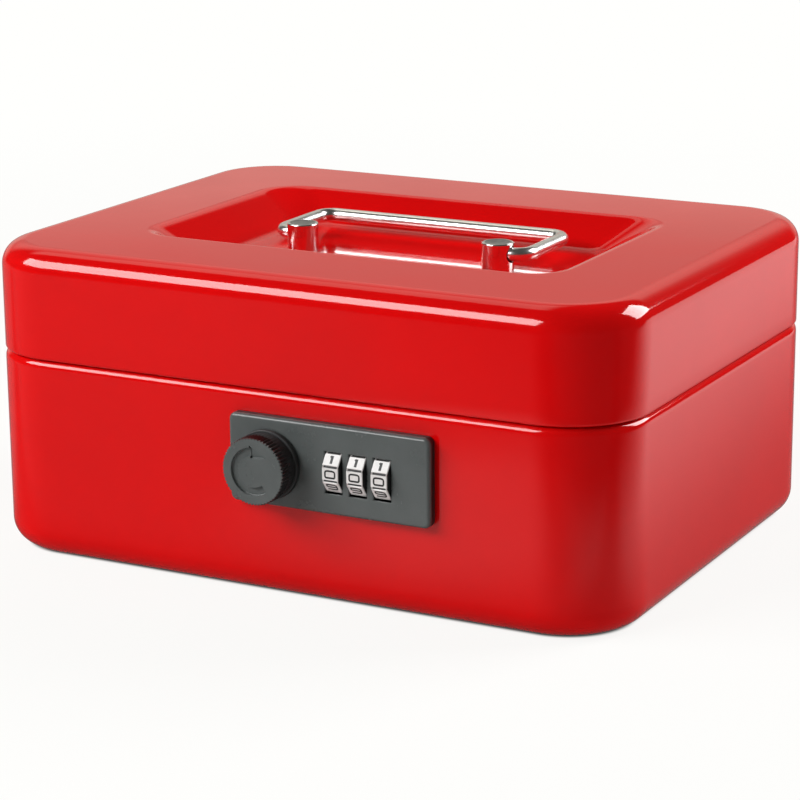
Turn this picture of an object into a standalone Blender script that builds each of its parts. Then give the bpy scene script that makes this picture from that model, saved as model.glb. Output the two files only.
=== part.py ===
"""Deep-drawn steel cash box with a three-wheel dial lock, a folding bail and a coin tray.

Metres, +Z up. X runs along the box, the lock is on the -Y side and the hinges are on the +Y side. The
box stands on Z = 0 with its origin in the middle of its underside. It is drawn closed, bail folded flat
to the back, wheels at 0-0-0 and knob turned to open.
"""

from math import acos, asin, atan2, cos, degrees, pi, radians, sin, sqrt

import bmesh
import bpy
from mathutils import Vector

# Box: outer size and sheet
LENGTH = 0.2000
DEPTH = 0.1540
HEIGHT = 0.0900
LID_DEPTH = 0.0313
CORNER_R = 0.0235
TOP_R = 0.0070
BOTTOM_R = 0.0075
SHEET = 0.0008

# Gaps: FIT between pieces that seat on each other, RUN round pieces that turn or slide
FIT = 0.0003
RUN = 0.00025

# Base: rounded shoulder under the seam, then an upright rim inside the lid
SHOULDER_R = 0.0026
RIM_INSET = 0.0044
RIM_HEIGHT = 0.0055

# Lid: folded lower edge, and the handle recess with its sloping walls
HEM_THICKNESS = 0.0017
HEM_HEIGHT = 0.0030
RECESS_END = 0.0325
RECESS_SIDE = 0.0345
RECESS_R = 0.0125
RECESS_FLOOR_R = 0.0080
RECESS_DEPTH = 0.0095
RECESS_END_RUN = 0.0178
RECESS_SIDE_RUN = 0.0100
RECESS_BLEND = 0.20

# Hinges: two, welded inside the back walls, with their barrels in notches at the seam
HINGE_END_GAP = 0.0005
HINGE_LENGTH = 0.0360
LID_KNUCKLE = 0.0116
KNUCKLE_GAP = 0.0004
LEAF_THICKNESS = 0.0010
LEAF_HEIGHT = 0.0180
BARREL_R = 0.0024
PIN_R = 0.0012
NOTCH_GAP = 0.0005
NOTCH_LIP = 0.0006

# Handle: posts on studs through the recess floor, and the wire bail between them
POST_SPACING = 0.0640
POST_Y = -0.0045
POST_R = 0.0046
POST_EDGE = 0.0006
POST_TOP_DROP = 0.0008
POST_BORE_DEPTH = 0.0056
STUD_R = 0.0020
STUD_OVERHANG = 0.0006
WASHER_R = 0.0045
WASHER_THICKNESS = 0.0008
NUT_FLATS = 0.0070
NUT_THICKNESS = 0.0030
BAIL_WIRE_R = 0.0020
BAIL_ARM_GAP = 0.0019
BAIL_BAR_INSET = 0.0082
BAIL_BEND_R = 0.0048
BAIL_AXIS_DROP = 0.0041
BAIL_TIP_GAP = 0.0008

# Lock front: plate, knob and number wheels, set out from the knob's axis below the seam
LOCK_DROP = 0.0194
KNOB_X = 0.0
PLATE_LEFT = 0.0127
PLATE_RIGHT = 0.0142
PLATE_HEIGHT = 0.0250
PLATE_RISE = 0.0005
PLATE_THICKNESS = 0.0030
PLATE_R = 0.0020
PLATE_EDGE = 0.0007
PLATE_SKIN = 0.0012
KNOB_LENGTH = 0.0087
KNOB_R = 0.0095
KNOB_FLANGE_R = 0.0098
KNOB_FLANGE = 0.0016
KNOB_EDGE = 0.0005
KNURL_TEETH = 60
KNURL_LENGTH = 0.0032
KNURL_DEPTH = 0.0004
WHEEL_COUNT = 3
WHEEL_FACES = 10
WHEEL_R = 0.0068
WHEEL_WIDTH = 0.0046
WHEEL_PITCH = 0.0074
WHEEL_PROUD = 0.0019
WHEEL_GROOVE = 0.0005
WHEEL_GROOVE_WIDTH = 0.0006
FIRST_WHEEL_X = 0.01985
SLOT_GAP = 0.0003
SLOT_END_GAP = 0.00045

# Lock body behind the plate
HOUSING_LEFT = 0.0085
HOUSING_RIGHT = 0.0127
HOUSING_WALL = 0.0015
HOUSING_R = 0.0010
HOUSING_SPARE = 0.0012
RIB_THICKNESS = 0.0015
RIB_GAP = 0.0006
RIB_REACH = 0.0045
BOSS_R = 0.00175
BOSS_X = 0.0115
CASE_WALL = 0.0015
SCREW_R = 0.0009
SCREW_LENGTH = 0.0080
SCREW_HEAD_R = 0.0018
SCREW_HEAD = 0.0013
SCREW_CROWN = 0.7
AXLE_R = 0.0010

# Wheel clutch: dogs inside the wheel, gate disc beside it, slide that draws the sleeves out
SLEEVE_R = 0.0023
DOG_HEIGHT = 0.0005
DOG_WIDTH = 0.0007
DISC_R = 0.0031
DISC_THICKNESS = 0.0008
DISC_GAP = 0.0002
CODE_TRAVEL = 0.0009
SLIDE_FINGER = 0.0005
SLIDE_GAP = 0.00017
SLIDE_HEIGHT = 0.0032
SLIDE_THICKNESS = 0.0015
TAB_LENGTH = 0.0024
TAB_HEIGHT = 0.0020
TAB_REACH = 0.0034
DETENT_THICKNESS = 0.0003
DETENT_WIDTH = 0.0032
DETENT_ANGLE = 24.0

# Knob spindle, locking bar and latch
SPINDLE_R = 0.0042
SPINDLE_NOSE_R = 0.0027
SPINDLE_NOSE = 0.0052
SPINDLE_TAIL_R = 0.0035
SPINDLE_BOSS_WALL = 0.0017
SPINDLE_BOSS_LENGTH = 0.0082
ECCENTRIC_R = 0.0050
ECCENTRIC_OFFSET = 0.00075
EYE_GAP = 0.00035
EYE_WALL = 0.0012
BAR_THICKNESS = 0.0016
BAR_HEIGHT = 0.0026
BAR_FINGER = 0.0007
BAR_GAP = 0.0009
BAR_TO_DISC = 0.0004
HOOK_THICKNESS = 0.0018
HOOK_GAP = 0.0005
HOOK_HUB_R = 0.0060
HOOK_ARM = 0.0070
HOOK_INNER_R = 0.0185
HOOK_R = 0.0240
HOOK_CLAW_ANGLE = 27.0
SQUARE = 0.0050
LATCH_SCREW_R = 0.0013
LATCH_SCREW_LENGTH = 0.0070
LATCH_SCREW_HEAD_R = 0.0032
LATCH_SCREW_HEAD = 0.0020

# Strike on the lid that the latch claw reaches through
STRIKE_SHEET = 0.0012
STRIKE_X = 0.0053
STRIKE_LEG = 0.0187
STRIKE_TOP_GAP = 0.0038
STRIKE_LEG_RISE = 0.0020
STRIKE_BAR = 0.0028
STRIKE_SIDE = 0.0030
STRIKE_CLEAR = 0.0013

# Coin tray on the rim
TRAY_PLAY = 0.0004
TRAY_LIP = 0.0011
TRAY_FLANGE = 0.0015
TRAY_DEPTH = 0.0260
TRAY_WALL = 0.0018
TRAY_FILLET = 0.0060
TRAY_FRONT_ROW = 0.0678
TRAY_LOCK_GAP = 0.0055

# Facets
SHELL_STEPS = 8
FILLET_STEPS = 4
EDGE_STEPS = 3
BEND_STEPS = 4
TRAY_STEPS = 4
ROUND = 16
FINE_ROUND = 24
ROUND_LIMIT = 0.98
SHARP_ANGLE = 32.0

# Places worked out from the sizes above
FRONT_Y = -DEPTH / 2
BACK_Y = DEPTH / 2
SEAM_Z = HEIGHT - LID_DEPTH
LOCK_Z = SEAM_Z - LOCK_DROP
RIM_TOP = SEAM_Z + RIM_HEIGHT
TRAY_INSET = RIM_INSET + SHEET + TRAY_PLAY
RECESS_LENGTH = LENGTH - 2 * RECESS_END
RECESS_WIDTH = DEPTH - 2 * RECESS_SIDE
RECESS_Z = HEIGHT - RECESS_DEPTH
HINGE_X = LENGTH / 2 - CORNER_R - HINGE_END_GAP - HINGE_LENGTH / 2
LEAF_OUT = BACK_Y - SHEET - FIT
LEAF_IN = LEAF_OUT - LEAF_THICKNESS
HINGE_Y = LEAF_IN + BARREL_R
HINGE_Z = SEAM_Z
BAIL_Z = HEIGHT - BAIL_AXIS_DROP
BAIL_ARM_X = POST_SPACING / 2 + POST_R + BAIL_ARM_GAP + BAIL_WIRE_R
BAIL_BAR_Y = RECESS_WIDTH / 2 - RECESS_SIDE_RUN - BAIL_BAR_INSET
WALL_IN = FRONT_Y + SHEET
PLATE_BACK = FRONT_Y - FIT
PLATE_FRONT = PLATE_BACK - PLATE_THICKNESS
POCKET_FRONT = PLATE_FRONT + PLATE_SKIN
WHEEL_XS = [KNOB_X + FIRST_WHEEL_X + index * WHEEL_PITCH for index in range(WHEEL_COUNT)]
WHEEL_FLAT = WHEEL_R * cos(pi / WHEEL_FACES)
AXLE_Y = PLATE_FRONT - WHEEL_PROUD + WHEEL_FLAT
HOUSING_HALF = WHEEL_R + HOUSING_SPARE
HOUSING_X0 = KNOB_X - HOUSING_LEFT
HOUSING_X1 = WHEEL_XS[-1] + HOUSING_RIGHT
BAR_FRONT = AXLE_Y + WHEEL_R + BAR_GAP
BAR_REAR = BAR_FRONT + BAR_THICKNESS
SLIDE_FRONT = BAR_FRONT + FIT * 2
SLIDE_REAR = SLIDE_FRONT + SLIDE_THICKNESS
HOUSING_REAR = BAR_REAR + SLIDE_THICKNESS + BAR_GAP
CASE_INNER = HOUSING_REAR + FIT
CASE_REAR = CASE_INNER + CASE_WALL
HOOK_FRONT = CASE_REAR + HOOK_GAP
HOOK_REAR = HOOK_FRONT + HOOK_THICKNESS
LATCH_REAR = HOOK_REAR + FIT + LATCH_SCREW_HEAD
KNOB_REAR = PLATE_FRONT - FIT
KNOB_FRONT = KNOB_REAR - KNOB_LENGTH
RIB_LEFT = WHEEL_XS[0] - WHEEL_WIDTH / 2 - RIB_GAP - RIB_THICKNESS
RIB_RIGHT = WHEEL_XS[-1] - WHEEL_WIDTH / 2 + WHEEL_PITCH + RIB_GAP
DISC_START = WHEEL_WIDTH / 2 + CODE_TRAVEL + DISC_GAP
FINGER_START = DISC_START + DISC_THICKNESS + SLIDE_GAP
CASE_SCREWS = {
    "left": (KNOB_X + BOSS_X, LOCK_Z - HOUSING_HALF + BOSS_R),
    "right": (HOUSING_X1 - HOUSING_WALL - BOSS_R + FIT, LOCK_Z + HOUSING_HALF - BOSS_R),
}

RED_PAINT = ((0.62, 0.012, 0.012), 0.18, 0.0)
CHROME = ((0.80, 0.80, 0.80), 0.10, 1.0)
ZINC = ((0.62, 0.63, 0.62), 0.35, 1.0)
SPRING_STEEL = ((0.45, 0.45, 0.46), 0.30, 1.0)
DARK_PLASTIC = ((0.075, 0.085, 0.080), 0.38, 0.0)
BLACK_PLASTIC = ((0.018, 0.018, 0.019), 0.50, 0.0)
SILVER_PLASTIC = ((0.78, 0.76, 0.75), 0.30, 0.0)


def finish(piece, look):
    """Give a piece its own Principled material from a colour, a roughness and a metallic value."""
    colour, roughness, metallic = look
    material = bpy.data.materials.new(piece.name + "_finish")
    material.use_nodes = True
    shader = material.node_tree.nodes["Principled BSDF"]
    shader.inputs["Base Color"].default_value = (*colour, 1.0)
    shader.inputs["Roughness"].default_value = roughness
    shader.inputs["Metallic"].default_value = metallic
    piece.data.materials.append(material)


def pivot(name, place):
    """Empty on a joint's axis that carries the pieces of one moving body."""
    empty = bpy.data.objects.new(name, None)
    empty.location = place
    bpy.context.scene.collection.objects.link(empty)
    return empty


def shape(name, skins, origin=Vector()):
    """Object from closed skins, each a list of points and a list of faces."""
    build = bmesh.new()
    for points, faces in skins:
        corners = [build.verts.new(point - origin) for point in points]
        for face in faces:
            build.faces.new([corners[index] for index in face])
    bmesh.ops.recalc_face_normals(build, faces=build.faces[:])
    mesh = bpy.data.meshes.new(name)
    build.to_mesh(mesh)
    build.free()
    mesh.shade_smooth()
    mesh.set_sharp_from_angle(angle=radians(SHARP_ANGLE))
    item = bpy.data.objects.new(name, mesh)
    bpy.context.scene.collection.objects.link(item)
    return item


def piece(name, skin, look, carrier):
    """Named solid with its finish, whose origin lies on its carrier's axis."""
    item = shape(name, [skin], carrier.location)
    item.parent = carrier
    finish(item, look)
    return item


def combine(target, operation, name, *skins):
    """Join skins to a solid, or cut them out of it."""
    tool = shape(target.name + "_" + name, skins)
    tool.hide_render = True
    tool.display_type = "WIRE"
    modifier = target.modifiers.new(name, "BOOLEAN")
    modifier.operation = operation
    modifier.solver = "EXACT"
    modifier.object = tool


def join(target, name, *skins):
    combine(target, "UNION", name, *skins)


def cut(target, name, *skins):
    combine(target, "DIFFERENCE", name, *skins)


def loft(loops, closed=False):
    """Quads through loops of equal count, with flat ends unless the last loop meets the first."""
    count = len(loops[0])
    points = [point for loop in loops for point in loop]
    faces = []
    for row in range(len(loops) if closed else len(loops) - 1):
        low = row * count
        high = (row + 1) % len(loops) * count
        for index in range(count):
            after = (index + 1) % count
            faces.append((low + index, low + after, high + after, high + index))
    if not closed:
        faces.append(tuple(range(count)))
        faces.append(tuple(range(len(points) - count, len(points))))
    return points, faces


def loop(axis, outline, place):
    """Outline (u, v) as points at a place along an axis, with u and v on the other two axes in order."""
    if axis == "x":
        return [Vector((place, u, v)) for u, v in outline]
    if axis == "y":
        return [Vector((u, place, v)) for u, v in outline]
    return [Vector((u, v, place)) for u, v in outline]


def prism(axis, outline, start, end):
    return loft([loop(axis, outline, start), loop(axis, outline, end)])


def block(low, high):
    """Rectangular block between two corners."""
    outline = [(low[0], low[1]), (high[0], low[1]), (high[0], high[1]), (low[0], high[1])]
    return prism("z", outline, low[2], high[2])


def circle(radius, centre=(0.0, 0.0), sides=ROUND):
    return [
        (centre[0] + radius * cos(2 * pi * side / sides), centre[1] + radius * sin(2 * pi * side / sides))
        for side in range(sides)
    ]


def arc(centre, radius, start, end, steps):
    """Points of an arc about a centre, from one angle in degrees to another."""
    angles = [radians(start + (end - start) * step / steps) for step in range(steps + 1)]
    return [(centre[0] + radius * cos(angle), centre[1] + radius * sin(angle)) for angle in angles]


def rounded(half_u, half_v, radius, steps, centre=(0.0, 0.0)):
    """Rectangle with round corners, whose radius is limited by its half sides."""
    radius = min(radius, half_u * ROUND_LIMIT, half_v * ROUND_LIMIT)
    outline = []
    for quarter, (side_u, side_v) in enumerate(((1, 1), (-1, 1), (-1, -1), (1, -1))):
        corner = (centre[0] + side_u * (half_u - radius), centre[1] + side_v * (half_v - radius))
        outline += arc(corner, radius, quarter * 90, quarter * 90 + 90, steps)
    return outline


def turned(axis, centre, profile, sides=ROUND, closed=False):
    """Round piece from (radius, place) steps along an axis."""
    return loft([loop(axis, circle(radius, centre, sides), place) for radius, place in profile], closed)


def box_outline(inset, steps):
    """Plan of the box drawn in by an inset."""
    return rounded(LENGTH / 2 - inset, DEPTH / 2 - inset, CORNER_R - inset, steps)


def shell_loop(inset, z):
    return loop("z", box_outline(inset, SHELL_STEPS), z)


def housing_outline(margin, radius):
    """Lock body's outline on the front wall, grown by a margin."""
    half_x = (HOUSING_X1 - HOUSING_X0) / 2 + margin
    half_z = HOUSING_HALF + HOUSING_WALL + margin
    return rounded(half_x, half_z, radius, EDGE_STEPS, ((HOUSING_X0 + HOUSING_X1) / 2, LOCK_Z))


def base_shell(carrier):
    """Pressed base: flat bottom, walls, a rounded shoulder under the seam and an upright rim."""
    bend = (BOTTOM_R, BOTTOM_R)
    crest = (SHOULDER_R, SEAM_Z - SHOULDER_R)
    section = arc(bend, BOTTOM_R, 270, 180, FILLET_STEPS)
    section += arc(crest, SHOULDER_R, 180, 90, FILLET_STEPS)
    section += [(RIM_INSET, SEAM_Z), (RIM_INSET, RIM_TOP)]
    section += [(RIM_INSET + SHEET, RIM_TOP), (RIM_INSET + SHEET, SEAM_Z - SHEET)]
    section += arc(crest, SHOULDER_R - SHEET, 90, 180, FILLET_STEPS)
    section += arc(bend, BOTTOM_R - SHEET, 180, 270, FILLET_STEPS)
    skin = loft([shell_loop(inset, z) for inset, z in section])
    shell = piece("base_shell", skin, RED_PAINT, carrier)
    window = housing_outline(FIT, HOUSING_R + FIT)
    cut(shell, "lock_window", prism("y", window, FRONT_Y - SHEET, WALL_IN + SHEET))
    half = HINGE_LENGTH / 2 + NOTCH_GAP
    low_y = BACK_Y - RIM_INSET + NOTCH_LIP
    notches = [
        block((x - half, low_y, HINGE_Z - BARREL_R - NOTCH_GAP), (x + half, HINGE_Y, RIM_TOP))
        for x in (-HINGE_X, HINGE_X)
    ]
    cut(shell, "hinge_notches", *notches)


def ramp(share):
    """Drop of the recess wall from 0 at its mouth to 1 at its floor, eased at both ends."""
    slope = 1 / (1 - RECESS_BLEND)
    if share < RECESS_BLEND:
        return slope * share**2 / (2 * RECESS_BLEND)
    if share > 1 - RECESS_BLEND:
        return 1 - slope * (1 - share) ** 2 / (2 * RECESS_BLEND)
    return slope * (share - RECESS_BLEND / 2)


def recess_loop(share, lift):
    """Outline of the recess at a share of its wall's run, from mouth to floor."""
    half = (RECESS_LENGTH / 2 - RECESS_END_RUN * share, RECESS_WIDTH / 2 - RECESS_SIDE_RUN * share)
    radius = RECESS_R + (RECESS_FLOOR_R - RECESS_R) * share
    outline = rounded(*half, radius, SHELL_STEPS)
    return loop("z", outline, HEIGHT - RECESS_DEPTH * ramp(share) + lift)


def lid_shell(carrier):
    """Pressed lid: sloping recess, rounded top edge, walls and a folded lower edge."""
    eased = [RECESS_BLEND * step / 2 for step in range(3)]
    shares = eased + [1 - share for share in reversed(eased)]
    crown = (TOP_R, HEIGHT - TOP_R)
    fold = (HEM_THICKNESS / 2, SEAM_Z + HEM_THICKNESS / 2)
    section = arc(crown, TOP_R, 90, 180, FILLET_STEPS)
    section += arc(fold, HEM_THICKNESS / 2, 180, 360, FILLET_STEPS)
    section += [(HEM_THICKNESS, SEAM_Z + HEM_HEIGHT)]
    section += [(SHEET, SEAM_Z + HEM_HEIGHT + HEM_THICKNESS - SHEET)]
    section += arc(crown, TOP_R - SHEET, 180, 90, FILLET_STEPS)
    loops = [recess_loop(share, 0.0) for share in reversed(shares)]
    loops += [shell_loop(inset, z) for inset, z in section]
    loops += [recess_loop(share, -SHEET) for share in shares]
    shell = piece("lid_shell", loft(loops), RED_PAINT, carrier)
    half = HINGE_LENGTH / 2 + NOTCH_GAP
    top = SEAM_Z + max(BARREL_R + NOTCH_GAP, HEM_HEIGHT + HEM_THICKNESS - SHEET + NOTCH_GAP)
    notches = [
        block((x - half, BACK_Y - HEM_THICKNESS - NOTCH_GAP, SEAM_Z - NOTCH_GAP), (x + half, HINGE_Y, top))
        for x in (-HINGE_X, HINGE_X)
    ]
    cut(shell, "hinge_notches", *notches)
    holes = [
        prism("z", circle(STUD_R + FIT, (x, POST_Y)), RECESS_Z - SHEET * 3, RECESS_Z + SHEET * 2)
        for x in (-POST_SPACING / 2, POST_SPACING / 2)
    ]
    cut(shell, "stud_holes", *holes)


def knuckle(side, start, end):
    """Leaf rolled into a barrel: side -1 hangs below the axis, side +1 stands above it."""
    meet = degrees(acos((HINGE_Y - LEAF_OUT) / BARREL_R))
    roll = arc((HINGE_Y, 0.0), BARREL_R, 180, -180 + meet, ROUND)
    outline = [(LEAF_IN, -LEAF_HEIGHT)] + roll + [(LEAF_OUT, -LEAF_HEIGHT)]
    return prism("x", [(y, HINGE_Z - side * z) for y, z in outline], start, end)


def hinge_leaf(name, x, side, knuckles, carrier):
    """Hinge leaf with its rolled knuckles, cut back beside the other leaf's."""
    clear = BARREL_R + KNUCKLE_GAP
    ends = sorted((HINGE_Z + side * clear, HINGE_Z + side * LEAF_HEIGHT))
    half = HINGE_LENGTH / 2
    plate = block((x - half, LEAF_IN, ends[0]), (x + half, LEAF_OUT, ends[1]))
    leaf = piece(name, plate, RED_PAINT, carrier)
    join(leaf, "knuckles", *[knuckle(side, x + start, x + end) for start, end in knuckles])
    bore = circle(PIN_R + FIT, (HINGE_Y, HINGE_Z))
    cut(leaf, "bore", prism("x", bore, x - HINGE_LENGTH, x + HINGE_LENGTH))


def hinge(hand, x, base, lid):
    """One hinge: two knuckles on the base, one on the lid, and a pin through them."""
    half = HINGE_LENGTH / 2
    inner = LID_KNUCKLE / 2
    outer = inner + KNUCKLE_GAP
    hinge_leaf("hinge_base_leaf_" + hand, x, -1, ((-half, -outer), (outer, half)), base)
    hinge_leaf("hinge_lid_leaf_" + hand, x, 1, ((-inner, inner),), lid)
    pin = prism("x", circle(PIN_R, (HINGE_Y, HINGE_Z)), x - half, x + half)
    piece("hinge_pin_" + hand, pin, ZINC, base)


def handle_post(hand, side, carrier):
    """Turned post on a threaded stud, with a washer and a nut under the recess floor."""
    x = side * POST_SPACING / 2
    top = HEIGHT - POST_TOP_DROP
    foot = RECESS_Z + FIT
    washer_top = RECESS_Z - SHEET - FIT
    nut_top = washer_top - WASHER_THICKNESS - FIT
    nut_end = nut_top - NUT_THICKNESS
    profile = [(STUD_R, nut_end - STUD_OVERHANG), (STUD_R, foot), (POST_R, foot)]
    profile += [(POST_R, top - POST_EDGE), (POST_R - POST_EDGE, top)]
    post = piece("handle_post_" + hand, turned("z", (x, POST_Y), profile, FINE_ROUND), CHROME, carrier)
    mouth = x + side * (POST_R + FIT)
    end = x + side * (POST_R - POST_BORE_DEPTH)
    cut(post, "bore", prism("x", circle(BAIL_WIRE_R + RUN, (POST_Y, BAIL_Z)), *sorted((mouth, end))))
    rings = [(WASHER_R, washer_top), (WASHER_R, washer_top - WASHER_THICKNESS)]
    rings += [(STUD_R + FIT, washer_top - WASHER_THICKNESS), (STUD_R + FIT, washer_top)]
    piece("post_washer_" + hand, turned("z", (x, POST_Y), rings, closed=True), ZINC, carrier)
    hexagon = circle(NUT_FLATS / sqrt(3), (x, POST_Y), 6)
    nut = piece("post_nut_" + hand, prism("z", hexagon, nut_end, nut_top), ZINC, carrier)
    thread = circle(STUD_R + FIT, (x, POST_Y))
    cut(nut, "thread", prism("z", thread, nut_end - FIT, nut_top + FIT))


def handle_bail(carrier):
    """Wire bail: stubs in the posts, two arms and a bar, lying flat to the back."""
    tip = POST_SPACING / 2 + POST_R - POST_BORE_DEPTH + BAIL_TIP_GAP
    near = (BAIL_ARM_X - BAIL_BEND_R, POST_Y + BAIL_BEND_R)
    far = (BAIL_ARM_X - BAIL_BEND_R, BAIL_BAR_Y - BAIL_BEND_R)
    half = [(tip, POST_Y)] + arc(near, BAIL_BEND_R, -90, 0, BEND_STEPS)
    half += arc(far, BAIL_BEND_R, 0, 90, BEND_STEPS)
    path = half + [(-x, y) for x, y in reversed(half)]
    curve = bpy.data.curves.new("handle_bail", "CURVE")
    curve.dimensions = "3D"
    curve.bevel_depth = BAIL_WIRE_R
    curve.bevel_resolution = 4
    curve.use_fill_caps = True
    spline = curve.splines.new("POLY")
    spline.points.add(len(path) - 1)
    for point, (x, y) in zip(spline.points, path):
        point.co = (*(Vector((x, y, BAIL_Z)) - carrier.location), 1.0)
    bail = bpy.data.objects.new("handle_bail", curve)
    bpy.context.scene.collection.objects.link(bail)
    bail.parent = carrier
    finish(bail, CHROME)


def strike_bracket(carrier):
    """Bent strike welded inside the lid front: a leg on the wall and a tongue with a window."""
    inner_x = KNOB_X - STRIKE_X
    outer_x = inner_x - STRIKE_SHEET
    wall = WALL_IN + FIT
    claw_low = LOCK_Z + sqrt(HOOK_INNER_R**2 - (STRIKE_X + STRIKE_SHEET) ** 2)
    claw_high = LOCK_Z + sqrt(HOOK_R**2 - STRIKE_X**2)
    window_low = claw_low - STRIKE_CLEAR
    window_high = claw_high + STRIKE_CLEAR
    front = HOOK_FRONT - STRIKE_CLEAR
    rear = HOOK_REAR + STRIKE_CLEAR
    leg_low = max(RIM_TOP, window_high) + STRIKE_LEG_RISE
    leg_high = HEIGHT - TOP_R - STRIKE_TOP_GAP
    near = front - STRIKE_SIDE
    far = rear + STRIKE_SIDE
    foot = window_low - STRIKE_BAR
    outline = [(wall, leg_low), (near, leg_low), (near, foot), (far, foot), (far, leg_high), (wall, leg_high)]
    tongue = prism("x", outline, outer_x, inner_x)
    bracket = piece("strike_bracket", tongue, RED_PAINT, carrier)
    leg = block((inner_x - STRIKE_LEG, wall, leg_low), (inner_x, wall + STRIKE_SHEET, leg_high))
    join(bracket, "leg", leg)
    opening = [(front, window_low), (rear, window_low), (rear, window_high), (front, window_high)]
    cut(bracket, "window", prism("x", opening, outer_x - SHEET, inner_x + SHEET))


def lock_housing(carrier):
    """Moulded lock front: plate, hollow body through the wall, ribs for the axle and screw bosses."""
    plate_centre = ((KNOB_X - PLATE_LEFT + WHEEL_XS[-1] + PLATE_RIGHT) / 2, LOCK_Z + PLATE_RISE)
    plate_half = (WHEEL_XS[-1] + PLATE_RIGHT - KNOB_X + PLATE_LEFT) / 2
    edge = [(0.0, PLATE_BACK)]
    edge += arc((PLATE_EDGE, PLATE_FRONT + PLATE_EDGE), PLATE_EDGE, 180, 270, EDGE_STEPS)
    loops = []
    for inset, y in edge:
        half = (plate_half - inset, PLATE_HEIGHT / 2 - inset)
        loops.append(loop("y", rounded(*half, PLATE_R - inset, FILLET_STEPS, plate_centre), y))
    housing = piece("lock_housing", loft(loops), DARK_PLASTIC, carrier)
    join(housing, "body", prism("y", housing_outline(0.0, HOUSING_R), POCKET_FRONT, HOUSING_REAR))
    low = (HOUSING_X0 + HOUSING_WALL, POCKET_FRONT, LOCK_Z - HOUSING_HALF)
    high = (HOUSING_X1 - HOUSING_WALL, CASE_REAR, LOCK_Z + HOUSING_HALF)
    cut(housing, "pocket", block(low, high))
    root = POCKET_FRONT - PLATE_SKIN / 2
    rib = HOUSING_HALF / 2
    ribs = [
        block((x, root, LOCK_Z - rib), (x + RIB_THICKNESS, AXLE_Y + RIB_REACH, LOCK_Z + rib))
        for x in (RIB_LEFT, RIB_RIGHT)
    ]
    sleeve = circle(SPINDLE_R + RUN + SPINDLE_BOSS_WALL, (KNOB_X, LOCK_Z))
    bosses = [prism("y", circle(BOSS_R, place), root, HOUSING_REAR - FIT) for place in CASE_SCREWS.values()]
    join(housing, "ribs", *ribs, prism("y", sleeve, root, POCKET_FRONT + SPINDLE_BOSS_LENGTH))
    join(housing, "bosses", *bosses)
    slot = WHEEL_WIDTH / 2 + SLOT_GAP
    slots = [
        prism("x", circle(WHEEL_R + SLOT_END_GAP, (AXLE_Y, LOCK_Z), FINE_ROUND), x - slot, x + slot)
        for x in WHEEL_XS
    ]
    cut(housing, "wheel_slots", *slots)
    bearing = circle(SPINDLE_R + RUN, (KNOB_X, LOCK_Z))
    cut(housing, "knob_hole", prism("y", bearing, PLATE_FRONT - SHEET, HOUSING_REAR))
    axle = circle(AXLE_R + RUN, (AXLE_Y, LOCK_Z))
    cut(housing, "axle_holes", prism("x", axle, RIB_LEFT - FIT, RIB_RIGHT + RIB_THICKNESS + FIT))
    pilots = [
        prism("y", circle(SCREW_R + RUN, place), CASE_REAR - SCREW_LENGTH - SCREW_R, CASE_REAR)
        for place in CASE_SCREWS.values()
    ]
    cut(housing, "pilot_holes", *pilots)


def lock_rear_case(carrier):
    """Moulded cup over the lock body that clamps the wall against the plate."""
    inner = housing_outline(FIT, HOUSING_R + FIT)
    outer = housing_outline(FIT + CASE_WALL, HOUSING_R + FIT + CASE_WALL)
    soft = housing_outline(FIT + CASE_WALL - PLATE_EDGE, HOUSING_R + FIT + CASE_WALL - PLATE_EDGE)
    mouth = WALL_IN + FIT
    loops = [loop("y", inner, CASE_INNER), loop("y", inner, mouth), loop("y", outer, mouth)]
    loops += [loop("y", outer, CASE_REAR - PLATE_EDGE), loop("y", soft, CASE_REAR)]
    case = piece("lock_rear_case", loft(loops), BLACK_PLASTIC, carrier)
    start = CASE_INNER - SHEET
    end = CASE_REAR + SHEET
    holes = [prism("y", circle(SCREW_R + FIT, place), start, end) for place in CASE_SCREWS.values()]
    tail = circle(SPINDLE_TAIL_R + FIT, (KNOB_X, LOCK_Z))
    tab_end = WHEEL_XS[-1] + FINGER_START + SLIDE_FINGER
    half_tab = TAB_HEIGHT / 2 + FIT
    slot_low = (tab_end - TAB_LENGTH - CODE_TRAVEL - FIT, start, LOCK_Z - half_tab)
    slot = block(slot_low, (tab_end + FIT, end, LOCK_Z + half_tab))
    cut(case, "holes", *holes, prism("y", tail, start, end), slot)


def screw(name, place, seat, head, shank, carrier):
    """Pan-head screw from behind: head and shank are each a radius and a length from the seat."""
    head_r, head_length = head
    shank_r, shank_length = shank
    profile = [(head_r * SCREW_CROWN, seat + head_length), (head_r, seat + head_length / 2)]
    profile += [(head_r, seat), (shank_r, seat), (shank_r, seat - shank_length)]
    piece(name, turned("y", place, profile), ZINC, carrier)


def case_screws(carrier):
    """Screws that draw the rear case to the lock body."""
    head = (SCREW_HEAD_R, SCREW_HEAD)
    for hand, place in CASE_SCREWS.items():
        screw("case_screw_" + hand, place, CASE_REAR + FIT, head, (SCREW_R, SCREW_LENGTH), carrier)


def wheel_axle(carrier):
    skin = prism("x", circle(AXLE_R, (AXLE_Y, LOCK_Z)), RIB_LEFT, RIB_RIGHT + RIB_THICKNESS)
    piece("wheel_axle", skin, ZINC, carrier)


def ring_of(radii):
    """Loop about the axle with one point for each radius, starting at the front and turning upwards."""
    step = 2 * pi / len(radii)
    return [
        (AXLE_Y - radius * cos(index * step), LOCK_Z + radius * sin(index * step))
        for index, radius in enumerate(radii)
    ]


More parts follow.
